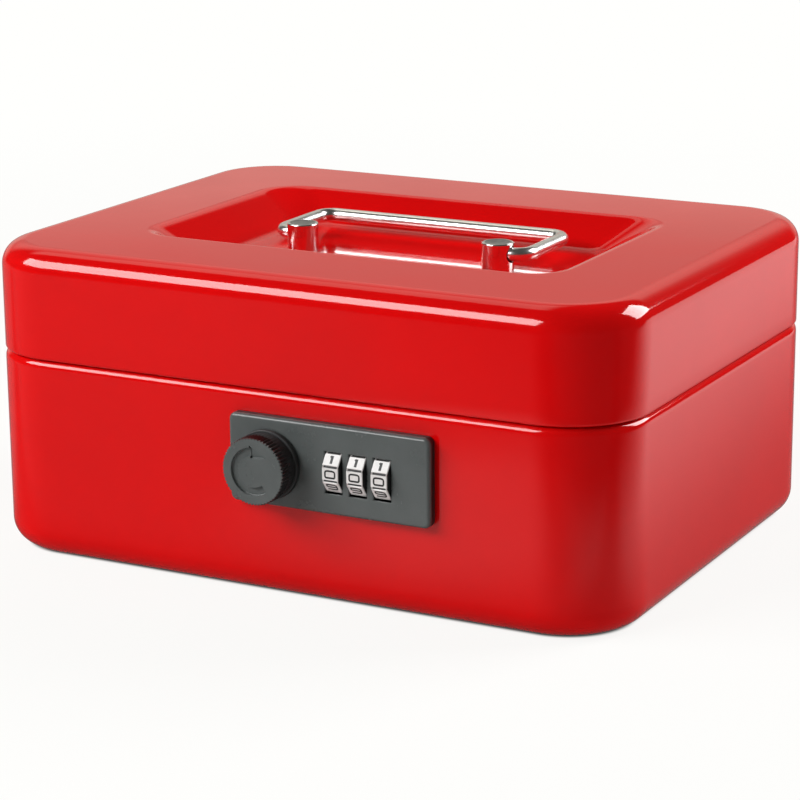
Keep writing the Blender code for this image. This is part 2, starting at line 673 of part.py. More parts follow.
def wheel_outline():
    """Ten flat faces with a groove between each pair, one face square to the front."""
    half_face = pi / WHEEL_FACES
    edge = half_face - WHEEL_GROOVE_WIDTH / 2 / WHEEL_R
    outline = []
    for face in range(WHEEL_FACES):
        middle = 2 * half_face * face
        for angle, radius in (
            (middle - edge, WHEEL_FLAT / cos(edge)),
            (middle + edge, WHEEL_FLAT / cos(edge)),
            (middle + half_face, WHEEL_R - WHEEL_GROOVE),
        ):
            outline.append((AXLE_Y - radius * cos(angle), LOCK_Z + radius * sin(angle)))
    return outline


def dogs(radius):
    """Ring of clutch teeth, one for each face of the wheel."""
    return ring_of([radius, radius + DOG_HEIGHT, radius + DOG_HEIGHT] * WHEEL_FACES)


def number_wheel(index, carrier):
    """Numbered wheel with clutch teeth in its bore at the right-hand end."""
    left = WHEEL_XS[index] - WHEEL_WIDTH / 2
    right = WHEEL_XS[index] + WHEEL_WIDTH / 2
    tooth_start = right - DOG_WIDTH - DISC_GAP
    outer = wheel_outline()
    teeth = dogs(SLEEVE_R + RUN)
    bore = ring_of([SLEEVE_R + DOG_HEIGHT + RUN * 2] * len(outer))
    loops = [loop("x", outer, left), loop("x", outer, right), loop("x", teeth, right)]
    loops += [loop("x", teeth, tooth_start), loop("x", bore, tooth_start), loop("x", bore, left)]
    piece("number_wheel_" + str(index + 1), loft(loops, closed=True), SILVER_PLASTIC, carrier)


def gate_sleeve(index, carrier):
    """Sleeve on the axle with clutch teeth inside the wheel and a notched gate disc beside it."""
    right = WHEEL_XS[index] + WHEEL_WIDTH / 2
    start = WHEEL_XS[index] - WHEEL_WIDTH / 2 + CODE_TRAVEL
    disc = WHEEL_XS[index] + DISC_START
    tooth_end = right - DISC_GAP / 2
    count = 3 * WHEEL_FACES
    quarter = count / 4
    rim = [SLEEVE_R if abs(step - quarter) < 2 else DISC_R for step in range(count)]
    tube = ring_of([SLEEVE_R] * count)
    teeth = dogs(SLEEVE_R)
    bore = ring_of([AXLE_R + FIT] * count)
    gate = ring_of(rim)
    tooth_start = tooth_end - DOG_WIDTH
    disc_end = disc + DISC_THICKNESS
    steps = [(bore, start), (tube, start), (tube, tooth_start), (teeth, tooth_start), (teeth, tooth_end)]
    steps += [(tube, tooth_end), (tube, disc), (gate, disc), (gate, disc_end), (bore, disc_end)]
    loops = [loop("x", outline, x) for outline, x in steps]
    piece("gate_sleeve_" + str(index + 1), loft(loops, closed=True), ZINC, carrier)


def code_slide(carrier):
    """Slide behind the wheels: fingers beside the gate discs and a thumb tab through the rear case."""
    half = SLIDE_HEIGHT / 2
    tab_end = WHEEL_XS[-1] + FINGER_START + SLIDE_FINGER
    low = (WHEEL_XS[0] + FINGER_START, SLIDE_FRONT, LOCK_Z - half)
    slide = piece("code_slide", block(low, (tab_end, SLIDE_REAR, LOCK_Z + half)), BLACK_PLASTIC, carrier)
    reach = AXLE_Y + SLEEVE_R + FIT
    fingers = [
        block(
            (x + FINGER_START, reach, LOCK_Z - half),
            (x + FINGER_START + SLIDE_FINGER, SLIDE_FRONT + SLIDE_THICKNESS / 2, LOCK_Z + half),
        )
        for x in WHEEL_XS
    ]
    join(slide, "fingers", *fingers)
    half_tab = TAB_HEIGHT / 2
    tab_low = (tab_end - TAB_LENGTH, SLIDE_REAR - SLIDE_THICKNESS / 2, LOCK_Z - half_tab)
    join(slide, "tab", block(tab_low, (tab_end, CASE_REAR + TAB_REACH, LOCK_Z + half_tab)))


def ribbon(path, thickness):
    """Outline of a strip bent along a path, mitred at its bends."""
    sides = ([], [])
    for index, (u, v) in enumerate(path):
        before = path[max(index - 1, 0)]
        after = path[min(index + 1, len(path) - 1)]
        heading = atan2(after[1] - before[1], after[0] - before[0])
        for side, sign in zip(sides, (1, -1)):
            side.append((u - sign * sin(heading) * thickness / 2, v + sign * cos(heading) * thickness / 2))
    return sides[0] + sides[1][::-1]


def detent_spring(carrier):
    """Comb spring on the floor of the lock body, with a bent finger behind each wheel."""
    floor = LOCK_Z - HOUSING_HALF + FIT + DETENT_THICKNESS / 2
    touch = WHEEL_R + FIT + DETENT_THICKNESS
    root = AXLE_Y + WHEEL_R + BAR_GAP + SLIDE_THICKNESS
    angle = radians(DETENT_ANGLE)
    contact = (AXLE_Y + touch * cos(angle), LOCK_Z - touch * sin(angle))
    bend = (root - SLIDE_THICKNESS / 2, floor)
    tip = (contact[0] + DETENT_THICKNESS * 2, LOCK_Z - SLIDE_HEIGHT / 2 - FIT - DETENT_THICKNESS)
    first = WHEEL_XS[0] - DETENT_WIDTH / 2
    last = WHEEL_XS[-1] + DETENT_WIDTH / 2
    half = DETENT_THICKNESS / 2
    foot = block((first, bend[0], floor - half), (last, HOUSING_REAR - FIT, floor + half))
    spring = piece("detent_spring", foot, SPRING_STEEL, carrier)
    path = [(root, floor), bend, contact, tip]
    fingers = [
        prism("x", ribbon(path, DETENT_THICKNESS), x - DETENT_WIDTH / 2, x + DETENT_WIDTH / 2)
        for x in WHEEL_XS
    ]
    join(spring, "fingers", *fingers)


def locking_bar(carrier):
    """Bar lifted by the knob's eccentric, with a finger over each gate disc."""
    centre = (KNOB_X + ECCENTRIC_OFFSET / 2, LOCK_Z)
    half = (ECCENTRIC_R + ECCENTRIC_OFFSET / 2 + EYE_GAP, ECCENTRIC_R + EYE_GAP)
    inner = rounded(*half, half[1], BEND_STEPS, centre)
    outer = rounded(half[0] + EYE_WALL, half[1] + EYE_WALL, half[1] + EYE_WALL, BEND_STEPS, centre)
    loops = [loop("y", outer, BAR_FRONT), loop("y", outer, BAR_REAR)]
    loops += [loop("y", inner, BAR_REAR), loop("y", inner, BAR_FRONT)]
    bar = piece("locking_bar", loft(loops, closed=True), SPRING_STEEL, carrier)
    finger_low = LOCK_Z + DISC_R + BAR_TO_DISC
    beam_low = max(finger_low, LOCK_Z + SLIDE_HEIGHT / 2 + BAR_TO_DISC)
    start = centre[0] + half[0] * cos(asin(min(1.0, (beam_low - LOCK_Z) / half[1]))) + EYE_WALL / 2
    end = WHEEL_XS[-1] + DISC_START + DISC_THICKNESS
    beam = block((start, BAR_FRONT, beam_low), (end, BAR_REAR, beam_low + BAR_HEIGHT))
    join(bar, "beam", beam)
    inset = (DISC_THICKNESS - BAR_FINGER) / 2
    finger_high = beam_low + BAR_HEIGHT - BAR_FINGER
    fingers = [
        block(
            (x + DISC_START + inset, AXLE_Y - SLEEVE_R / 2, finger_low),
            (x + DISC_START + inset + BAR_FINGER, BAR_FRONT + BAR_THICKNESS / 2, finger_high),
        )
        for x in WHEEL_XS
    ]
    join(bar, "fingers", *fingers)


def square_loop(y):
    """Square end of the spindle as a loop with as many points as its round steps."""
    outline = []
    for u, v in circle(1.0):
        reach = SQUARE / 2 / max(abs(u), abs(v))
        outline.append((KNOB_X + u * reach, LOCK_Z + v * reach))
    return loop("y", outline, y)


def knob_spindle(carrier):
    """Stepped spindle: nose in the knob, journal, eccentric, tail and a square for the latch hook."""
    boss_end = POCKET_FRONT + SPINDLE_BOSS_LENGTH
    axis = (KNOB_X, LOCK_Z)
    offset = (KNOB_X + ECCENTRIC_OFFSET, LOCK_Z)
    tapped = HOOK_REAR - LATCH_SCREW_LENGTH - FIT
    steps = [(SPINDLE_NOSE_R, axis, KNOB_REAR - SPINDLE_NOSE), (SPINDLE_NOSE_R, axis, PLATE_FRONT)]
    steps += [(SPINDLE_R, axis, PLATE_FRONT), (SPINDLE_R, axis, boss_end)]
    steps += [(SPINDLE_TAIL_R, axis, boss_end), (SPINDLE_TAIL_R, axis, BAR_FRONT - FIT)]
    steps += [(ECCENTRIC_R, offset, BAR_FRONT - FIT), (ECCENTRIC_R, offset, BAR_REAR + FIT)]
    steps += [(SPINDLE_TAIL_R, axis, BAR_REAR + FIT), (SPINDLE_TAIL_R, axis, CASE_REAR + FIT)]
    loops = [loop("y", circle(radius, centre), y) for radius, centre, y in steps]
    loops += [square_loop(CASE_REAR + FIT), square_loop(HOOK_REAR)]
    hole = circle(LATCH_SCREW_R + FIT, axis)
    loops += [loop("y", hole, HOOK_REAR), loop("y", hole, tapped)]
    piece("knob_spindle", loft(loops), ZINC, carrier)


def lock_knob(carrier):
    """Knob with a plain flange, a slight waist and a knurled grip behind its flat face."""
    count = 2 * KNURL_TEETH
    centre = (KNOB_X, LOCK_Z)
    crest = circle(1.0, sides=count)
    grip_rear = KNOB_FRONT + KNURL_LENGTH

    def knurl(outer, y):
        radii = [outer - KNURL_DEPTH * (index % 2) for index in range(count)]
        return loop("y", [(KNOB_X + r * u, LOCK_Z + r * v) for r, (u, v) in zip(radii, crest)], y)

    plain = [(KNOB_FLANGE_R, KNOB_REAR), (KNOB_FLANGE_R, KNOB_REAR - KNOB_FLANGE), (KNOB_R, grip_rear)]
    loops = [loop("y", circle(radius, centre, count), y) for radius, y in plain]
    loops += [knurl(KNOB_R, grip_rear - KNOB_EDGE), knurl(KNOB_R, KNOB_FRONT + KNOB_EDGE)]
    loops += [loop("y", circle(KNOB_R - KNURL_DEPTH - KNOB_EDGE / 2, centre, count), KNOB_FRONT)]
    knob = piece("lock_knob", loft(loops), DARK_PLASTIC, carrier)
    bore = circle(SPINDLE_NOSE_R + FIT, centre)
    cut(knob, "bore", prism("y", bore, KNOB_REAR - SPINDLE_NOSE - FIT, PLATE_FRONT))


def latch_hook(carrier):
    """Flat hook on the spindle's square: hub, arm and a claw that sweeps upwards when locking."""
    axis = (KNOB_X, LOCK_Z)
    half_arm = HOOK_ARM / 2
    neck = degrees(asin(half_arm / HOOK_HUB_R))
    low = degrees(asin(half_arm / HOOK_R))
    inner = degrees(asin(half_arm / HOOK_INNER_R))
    outline = arc(axis, HOOK_HUB_R, neck, 360 - neck, ROUND)
    outline += arc(axis, HOOK_R, -low, HOOK_CLAW_ANGLE, SHELL_STEPS)
    outline += arc(axis, HOOK_INNER_R, HOOK_CLAW_ANGLE, inner, FILLET_STEPS)
    hook = piece("latch_hook", prism("y", outline, HOOK_FRONT, HOOK_REAR), ZINC, carrier)
    hole = rounded(SQUARE / 2 + RUN, SQUARE / 2 + RUN, RUN, 1, axis)
    cut(hook, "square_hole", prism("y", hole, HOOK_FRONT - FIT, HOOK_REAR + FIT))


def latch_screw(carrier):
    """Screw in the spindle's end that holds the hook on its square."""
    head = (LATCH_SCREW_HEAD_R, LATCH_SCREW_HEAD)
    shank = (LATCH_SCREW_R, LATCH_SCREW_LENGTH)
    screw("latch_screw", (KNOB_X, LOCK_Z), HOOK_REAR + FIT, head, shank, carrier)


def pocket(left, right, front, back, floor, top, radius):
    """Coin cup: straight walls with a rounded bottom edge."""
    centre = ((left + right) / 2, (front + back) / 2)
    rise = arc((TRAY_FILLET, TRAY_FILLET), TRAY_FILLET, 270, 180, EDGE_STEPS) + [(0.0, top - floor)]
    loops = []
    for inset, lift in rise:
        half = ((right - left) / 2 - inset, (back - front) / 2 - inset)
        loops.append(loop("z", rounded(*half, radius - inset, TRAY_STEPS, centre), floor + lift))
    return loft(loops)


def coin_tray(carrier):
    """Moulded tray hung on the rim by its flange, open at the front round the lock."""
    seat = RIM_TOP + FIT
    top = seat + TRAY_FLANGE
    under = top - TRAY_DEPTH
    flange = prism("z", box_outline(TRAY_INSET - TRAY_LIP, TRAY_STEPS), seat, top)
    tray = piece("coin_tray", flange, BLACK_PLASTIC, carrier)
    join(tray, "tub", prism("z", box_outline(TRAY_INSET, TRAY_STEPS), under, seat + TRAY_FLANGE / 2))
    bay_left = min(HOUSING_X0 - FIT - CASE_WALL, KNOB_X - STRIKE_X - STRIKE_SHEET) - TRAY_LOCK_GAP
    bay_right = HOUSING_X1 + FIT + CASE_WALL + TRAY_LOCK_GAP
    bay_back = LATCH_REAR + TRAY_LOCK_GAP
    cut(tray, "lock_bay", block((bay_left, FRONT_Y, under - SHEET), (bay_right, bay_back, top + SHEET)))
    side = LENGTH / 2 - TRAY_INSET - TRAY_WALL
    front = FRONT_Y + TRAY_INSET + TRAY_WALL
    middle = front + TRAY_FRONT_ROW
    rear = middle + TRAY_WALL
    back = BACK_Y - TRAY_INSET - TRAY_WALL
    radius = CORNER_R - TRAY_INSET - TRAY_WALL
    cups = [
        (-side, bay_left - TRAY_WALL, front, middle),
        (bay_left, bay_right, bay_back + TRAY_WALL, middle),
        (bay_right + TRAY_WALL, side, front, middle),
        (-side, -TRAY_WALL / 2, rear, back),
        (TRAY_WALL / 2, side, rear, back),
    ]
    floor = under + TRAY_WALL
    cut(tray, "cups", *[pocket(*cup, floor, top + TRAY_FILLET, radius) for cup in cups])


def build():
    for item in list(bpy.data.objects):
        bpy.data.objects.remove(item, do_unlink=True)
    base = pivot("base", (0.0, 0.0, 0.0))
    lid = pivot("lid_axis", (0.0, HINGE_Y, HINGE_Z))
    bail = pivot("bail_axis", (0.0, POST_Y, BAIL_Z))
    knob = pivot("knob_axis", (KNOB_X, KNOB_REAR, LOCK_Z))
    slide = pivot("slide_axis", (WHEEL_XS[-1], SLIDE_REAR, LOCK_Z))
    bar = pivot("bar_axis", (KNOB_X, BAR_FRONT, LOCK_Z))
    tray = pivot("tray_axis", (0.0, 0.0, RIM_TOP))
    base_shell(base)
    lid_shell(lid)
    for hand, side in (("left", -1), ("right", 1)):
        hinge(hand, side * HINGE_X, base, lid)
        handle_post(hand, side, lid)
    handle_bail(bail)
    strike_bracket(lid)
    lock_housing(base)
    lock_rear_case(base)
    case_screws(base)
    wheel_axle(base)
    detent_spring(base)
    for index, x in enumerate(WHEEL_XS):
        wheel = pivot("wheel_axis_" + str(index + 1), (x, AXLE_Y, LOCK_Z))
        number_wheel(index, wheel)
        gate_sleeve(index, wheel)
    code_slide(slide)
    locking_bar(bar)
    knob_spindle(knob)
    lock_knob(knob)
    latch_hook(knob)
    latch_screw(knob)
    coin_tray(tray)


build()
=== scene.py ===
"""Looks of a small red steel cash box with a wire handle, a three-wheel dial lock and a coin tray.

Metres, +Z up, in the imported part's own frame: X runs along the box, the lock faces -Y and the hinges +Y.
"""

import bmesh
import bpy
import numpy as np
from mathutils import Matrix, Vector


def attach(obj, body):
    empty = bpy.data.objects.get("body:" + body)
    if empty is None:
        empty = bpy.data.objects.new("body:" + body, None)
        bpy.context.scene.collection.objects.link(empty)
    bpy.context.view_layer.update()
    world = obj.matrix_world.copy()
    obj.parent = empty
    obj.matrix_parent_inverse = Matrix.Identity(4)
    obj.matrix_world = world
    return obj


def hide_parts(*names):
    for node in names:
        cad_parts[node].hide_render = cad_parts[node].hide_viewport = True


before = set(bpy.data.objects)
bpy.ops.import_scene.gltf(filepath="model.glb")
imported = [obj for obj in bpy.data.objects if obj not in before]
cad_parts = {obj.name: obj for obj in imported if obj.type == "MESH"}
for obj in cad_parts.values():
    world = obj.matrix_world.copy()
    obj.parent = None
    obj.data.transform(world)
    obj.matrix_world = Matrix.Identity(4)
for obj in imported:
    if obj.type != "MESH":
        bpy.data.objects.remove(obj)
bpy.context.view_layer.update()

# Base shell: the lower half, deep drawn from 0.8 mm sheet steel, with a rounded shoulder and an upright rim
# for the lid to close over. A window is punched for the lock and two notches for the hinge barrels, and
# the whole shell is stove enamelled bright red inside and out.

LENGTH = 0.2
DEPTH = 0.154
CORNER_R = 0.0235
CORNER_STEPS = 24
SHEET = 0.0008
SEAM_Z = 0.0587
BOTTOM_R = 0.0075
BOTTOM_FLAT = 0.0175
SHOULDER_R = 0.0026
RIM_INSET = 0.0044
RIM_TOP = 0.0642
RIM_BEND = 0.0005
TANGENT = 0.0004
WINDOW_X = (-0.0088, 0.04765)
WINDOW_Z = (0.0295, 0.0491)
HINGE_X = 0.058
NOTCH_HALF = 0.0185
BASE_NOTCH_Z = 0.0558
BASE_NOTCH_INSET = 0.0038
BOX_HALF = (LENGTH / 2, DEPTH / 2)
CORE_X = LENGTH / 2 - CORNER_R
CORE_Y = DEPTH / 2 - CORNER_R
NEAR_CORNER = 0.99
HAIR = 1e-6
RED = (0.660, 0.0016, 0.0022)
DEEP_RED = (0.615, 0.0012, 0.0018)


def arc(centre, radius, start, end, steps):
    """Arc in a section: the centre plus the radius times the cosine and sine of angles, start to end."""
    angle = np.radians(np.linspace(start, end, steps + 1))
    return np.column_stack([centre[0] + radius * np.cos(angle), centre[1] + radius * np.sin(angle)])


def perimeter(steps, right, back, left, front):
    """Columns round a rounded rectangle, anticlockwise from its right side. Each is a place on the core
    rectangle, in shares -1 to 1 of its half sides, and the outward direction: steady along a straight run,
    turning through a quarter circle at each corner."""
    runs = (
        (np.ones(len(right)), np.array(right)),
        (np.array(back[::-1]), np.ones(len(back))),
        (-np.ones(len(left)), np.array(left[::-1])),
        (np.array(front), -np.ones(len(front))),
    )
    corners = ((1, 1), (-1, 1), (-1, -1), (1, -1))
    quarter = np.linspace(0, np.pi / 2, steps + 1)
    shares = []
    turns = []
    for side, (run, corner) in enumerate(zip(runs, corners)):
        shares += [np.column_stack(run), np.tile(corner, (steps + 1, 1))]
        turns += [np.full(len(run[0]), side * np.pi / 2), side * np.pi / 2 + quarter]
    turn = np.concatenate(turns)
    return np.concatenate(shares), np.column_stack([np.cos(turn), np.sin(turn)])


def walls(rows, columns, centre=(0.0, 0.0)):
    """Grid of a rounded wall: each row is (half length, half width, corner radius, height). Its core is the
    half sides less the radius; a point is the core times the column's share, plus the radius along the
    column's direction."""
    rows = np.asarray(rows)
    shares, outward = columns
    core = rows[:, :2] - rows[:, 2:3]
    plan = core[:, None] * shares + rows[:, 2, None, None] * outward + np.asarray(centre)
    height = np.repeat(rows[:, 3, None, None], len(shares), 1)
    return np.concatenate([plan, height], 2)


def inset_rows(half, corner, section):
    """Rows of a rounded rectangle of two half sides and a corner radius, drawn in by each inset of a
    section of (inset, height)."""
    inset, z = np.asarray(section).T
    return np.column_stack([half[0] - inset, half[1] - inset, corner - inset, z])


def nearest(points, *place):
    """Index of the point of a list that lies nearest to a place."""
    return int(np.argmin(np.linalg.norm(np.asarray(points) - place, axis=1)))


def cut(columns, start, end, y, runs):
    """Cut over runs of rows between two places along the front or back wall of the box: its first and last
    column, in the order they run, and the runs."""
    plan = walls([(*BOX_HALF, CORNER_R, 0.0)], columns)[0, :, :2]
    return (*sorted((nearest(plan, start, y), nearest(plan, end, y))), runs)


def hinge_cuts(columns, runs):
    """Cuts for the two hinges in the back wall, over runs of rows."""
    middles = (-HINGE_X, HINGE_X)
    return [cut(columns, x - NOTCH_HALF, x + NOTCH_HALF, DEPTH / 2, runs) for x in middles]


def pressed(points, cuts=(), caps=(0, -1)):
    """Faces of a sheet whose grid closes round its columns and is capped at the rows named. A cut takes the
    cells between two columns over runs of rows: a strip joins the end of each run to the start of the next,
    and one face closes each side."""
    rows, columns = points.shape[:2]
    index = np.arange(rows * columns).reshape(rows, columns)
    after = np.roll(index, -1, 1)
    keep = np.ones((rows - 1, columns), bool)
    faces = [index[[row]] for row in caps]
    for first, last, runs in cuts:
        span = slice(first, last)
        for start, end in runs:
            keep[start:end, span] = False
        for (_, end), (start, _) in zip(runs, runs[1:] + runs[:1]):
            strip = [index[end, span], after[end, span], after[start, span], index[start, span]]
            faces.append(np.stack(strip, -1))
        for column in (first, last):
            faces.append(np.concatenate([index[start : end + 1, column] for start, end in runs])[None])
    quads = np.stack([index[:-1], after[:-1], after[1:], index[1:]], -1)
    return points, faces + [quads[keep]]


def put(name, surfaces, finish, body, nodes=(), sharp=32.0, fill=None):
    """One piece from surfaces of (points, faces): doubles merged, an open flat edge at the fill height
    closed with triangles, faces turned outwards, smooth up to the sharp angle, then tied to its body and
    the nodes it replaces."""
    points = []
    faces = []
    start = 0
    for grid, groups in surfaces:
        points.append(grid.reshape(-1, 3))
        faces += [face for group in groups for face in (group + start).tolist()]
        start += len(points[-1])
    mesh = bpy.data.meshes.new(name)
    mesh.from_pydata(np.concatenate(points).tolist(), [], faces)
    work = bmesh.new()
    work.from_mesh(mesh)
    bmesh.ops.remove_doubles(work, verts=work.verts, dist=2 * HAIR)
    if fill is not None:
        open_edges = [edge for edge in work.edges if edge.is_boundary]
        level_edges = [edge for edge in open_edges if abs(edge.verts[0].co.z - fill) < HAIR]
        bmesh.ops.triangle_fill(work, use_beauty=True, edges=level_edges, normal=(0, 0, 1))
    bmesh.ops.recalc_face_normals(work, faces=work.faces)
    work.to_mesh(mesh)
    work.free()
    mesh.shade_smooth()
    mesh.set_sharp_from_angle(angle=np.radians(sharp))
    mesh.materials.append(finish)
    made = bpy.data.objects.new(name, mesh)
    bpy.context.scene.collection.objects.link(made)
    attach(made, body)
    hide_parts(*nodes)


def add(tree, kind, *values):
    """New node of a kind in a node tree, with its values set from pairs of a socket and a value."""
    node = tree.nodes.new(kind)
    for socket, value in values:
        node.inputs[socket].default_value = value
    return node


def handled_surface():
    """Node group on Object coordinates. Cloud is broad noise stretched about its middle, for tone and
    gloss; Grain is fine noise, for the height of a bump."""
    group = bpy.data.node_groups.new("handled_surface", "ShaderNodeTree")
    for socket in ("Cloud Scale", "Grain Scale"):
        group.interface.new_socket(socket, in_out="INPUT", socket_type="NodeSocketFloat")
    for socket in ("Cloud", "Grain"):
        group.interface.new_socket(socket, in_out="OUTPUT", socket_type="NodeSocketFloat")
    links = group.links
    entry = add(group, "NodeGroupInput")
    leave = add(group, "NodeGroupOutput")
    place = add(group, "ShaderNodeTexCoord")
    cloud = add(group, "ShaderNodeTexNoise", ("Detail", 5.0), ("Roughness", 0.6))
    stretch = add(group, "ShaderNodeMapRange", ("From Min", 0.32), ("From Max", 0.68))
    grain = add(group, "ShaderNodeTexNoise", ("Detail", 1.0))
    for noise, scale in ((cloud, "Cloud Scale"), (grain, "Grain Scale")):
        links.new(place.outputs["Object"], noise.inputs["Vector"])
        links.new(entry.outputs[scale], noise.inputs["Scale"])
    links.new(cloud.outputs["Fac"], stretch.inputs["Value"])
    links.new(stretch.outputs["Result"], leave.inputs["Cloud"])
    links.new(grain.outputs["Fac"], leave.inputs["Grain"])
    return group


HANDLED = handled_surface()


def blend(tree, tones):
    """Mix node that runs between two tones with its factor."""
    node = tree.nodes.new("ShaderNodeMix")
    node.data_type = "RGBA"
    for socket, tone in zip("AB", tones):
        node.inputs[socket].default_value = (*tone, 1.0)
    return node


def surface(name, tones, gloss, metallic, cloud, grain, depth):
    """Finish whose colour runs between two tones and whose roughness runs between two values with the broad
    cloud, and whose normal is bumped by the fine grain to a depth in metres."""
    finish = bpy.data.materials.new(name)
    finish.use_nodes = True
    tree = finish.node_tree
    links = tree.links
    shader = tree.nodes["Principled BSDF"]
    shader.inputs["Metallic"].default_value = metallic
    marks = tree.nodes.new("ShaderNodeGroup")
    marks.node_tree = HANDLED
    marks.inputs["Cloud Scale"].default_value = cloud
    marks.inputs["Grain Scale"].default_value = grain
    tone = blend(tree, tones)
    sheen = add(tree, "ShaderNodeMapRange", ("To Min", gloss[0]), ("To Max", gloss[1]))
    bump = add(tree, "ShaderNodeBump", ("Distance", depth))
    links.new(marks.outputs["Cloud"], tone.inputs["Factor"])
    links.new(marks.outputs["Cloud"], sheen.inputs["Value"])
    links.new(marks.outputs["Grain"], bump.inputs["Height"])
    links.new(tone.outputs["Result"], shader.inputs["Base Color"])
    links.new(sheen.outputs["Result"], shader.inputs["Roughness"])
    links.new(bump.outputs["Normal"], shader.inputs["Normal"])
    return finish


red_enamel = surface(
    "red_enamel", (RED, DEEP_RED), gloss=(0.05, 0.09), metallic=0.0, cloud=22.0, grain=520.0, depth=4e-6
)

side_run = (-NEAR_CORNER, -0.5, 0.0, 0.5, NEAR_CORNER)
hinge_stop = (HINGE_X - NOTCH_HALF) / CORE_X
hinge_run = (-NEAR_CORNER, -hinge_stop, 0.0, hinge_stop, NEAR_CORNER)
lock_run = (-NEAR_CORNER, -0.5, WINDOW_X[0] / CORE_X, WINDOW_X[1] / CORE_X, NEAR_CORNER)
base_columns = perimeter(CORNER_STEPS, side_run, hinge_run, side_run, lock_run)
bottom = (BOTTOM_R, BOTTOM_R)
crest = (SHOULDER_R, SEAM_Z - SHOULDER_R)
rim_round = (RIM_INSET + SHEET / 2, RIM_TOP - SHEET / 2)
base_section = np.vstack(
    [
        [(BOTTOM_FLAT, 0.0), (BOTTOM_R + TANGENT, 0.0)],
        arc(bottom, BOTTOM_R, 270, 180, 16),
        [(0.0, BOTTOM_R + TANGENT), (0.0, WINDOW_Z[0]), (0.0, WINDOW_Z[1]), (0.0, BASE_NOTCH_Z)],
        arc(crest, SHOULDER_R, 180, 90, 12),
        [(BASE_NOTCH_INSET, SEAM_Z)],
        arc((RIM_INSET - RIM_BEND, SEAM_Z + RIM_BEND), RIM_BEND, 270, 360, 4),
        arc(rim_round, SHEET / 2, 180, 0, 8),
        [(RIM_INSET + SHEET, SEAM_Z - SHEET), (BASE_NOTCH_INSET, SEAM_Z - SHEET)],
        arc(crest, SHOULDER_R - SHEET, 90, 180, 10),
        [(SHEET, BASE_NOTCH_Z), (SHEET, WINDOW_Z[1]), (SHEET, WINDOW_Z[0]), (SHEET, BOTTOM_R + TANGENT)],
        arc(bottom, BOTTOM_R - SHEET, 180, 270, 12),
        [(BOTTOM_R + TANGENT, SHEET), (BOTTOM_FLAT, SHEET)],
    ]
)
window_runs = [
    (nearest(base_section, 0.0, WINDOW_Z[0]), nearest(base_section, 0.0, WINDOW_Z[1])),
    (nearest(base_section, SHEET, WINDOW_Z[1]), nearest(base_section, SHEET, WINDOW_Z[0])),
]
notch_runs = [
    (nearest(base_section, 0.0, BASE_NOTCH_Z), nearest(base_section, BASE_NOTCH_INSET, SEAM_Z)),
    (nearest(base_section, BASE_NOTCH_INSET, SEAM_Z - SHEET), nearest(base_section, SHEET, BASE_NOTCH_Z)),
]
window_cut = cut(base_columns, *WINDOW_X, -DEPTH / 2, window_runs)
base_cuts = [window_cut, *hinge_cuts(base_columns, notch_runs)]
base_rows = inset_rows(BOX_HALF, CORNER_R, base_section)
base_sheet = pressed(walls(base_rows, base_columns), base_cuts)
put("red_base", [base_sheet], red_enamel, "base", ["base_shell"])

# Lid shell: the upper half, drawn from the same sheet and enamelled with the base. Its top has a rounded
# edge and a sunken panel with sloping walls for the handle; its lower edge is folded inwards for stiffness.

HEIGHT = 0.09
TOP_R = 0.007
HEM = 0.0017
HEM_TOP = 0.0617
HEM_EDGE = 0.0004
LID_NOTCH_Z = 0.0631
PANEL_HALF = (0.0675, 0.0425)
PANEL_R = 0.0125
PANEL_FLOOR_R = 0.008
PANEL_DEPTH = 0.0095
PANEL_END_RUN = 0.0178
PANEL_SIDE_RUN = 0.01
PANEL_EASE = 0.2
EASE_ROWS = 9
PANEL_STRAIGHT = (0.35, 0.65)


def panel_rows(shares, below):
    """Rows down the sunken panel's wall, from share 0 at its mouth to 1 at its floor, set lower by a depth.
    The drop is straight in the middle and parabolic over the eased share at both ends."""
    slope = 1 / (1 - PANEL_EASE)
    rise = slope * shares**2 / (2 * PANEL_EASE)
    rest = 1 - slope * (1 - shares) ** 2 / (2 * PANEL_EASE)
    drop = np.where(shares < PANEL_EASE, rise, slope * (shares - PANEL_EASE / 2))
    drop = np.where(shares > 1 - PANEL_EASE, rest, drop)
    half_x = PANEL_HALF[0] - PANEL_END_RUN * shares
    half_y = PANEL_HALF[1] - PANEL_SIDE_RUN * shares
    radius = PANEL_R + (PANEL_FLOOR_R - PANEL_R) * shares
    return np.column_stack([half_x, half_y, radius, HEIGHT - PANEL_DEPTH * drop - below])


lid_columns = perimeter(CORNER_STEPS, side_run, hinge_run, side_run, side_run)
eased = np.linspace(0, PANEL_EASE, EASE_ROWS)
panel_shares = np.concatenate([eased, PANEL_STRAIGHT, 1 - eased[::-1]])
crown = (TOP_R, HEIGHT - TOP_R)
fold = (HEM / 2, SEAM_Z + HEM / 2)
lid_section = np.vstack(
    [
        [(TOP_R + TANGENT, HEIGHT)],
        arc(crown, TOP_R, 90, 180, 20),
        [(0.0, HEIGHT - TOP_R - TANGENT), (0.0, LID_NOTCH_Z)],
        arc(fold, HEM / 2, 180, 360, 14),
        arc((HEM - HEM_EDGE, HEM_TOP - HEM_EDGE), HEM_EDGE, 0, 90, 4),
        [(SHEET, HEM_TOP), (SHEET, LID_NOTCH_Z), (SHEET, HEIGHT - TOP_R - TANGENT)],
        arc(crown, TOP_R - SHEET, 180, 90, 12),
    ]
)
mouth_rim = (PANEL_HALF[0] + TANGENT, PANEL_HALF[1] + TANGENT, PANEL_R + TANGENT)
panel_floor = (
    PANEL_HALF[0] - PANEL_END_RUN - TANGENT,
    PANEL_HALF[1] - PANEL_SIDE_RUN - TANGENT,
    PANEL_FLOOR_R - TANGENT,
)
panel_z = HEIGHT - PANEL_DEPTH
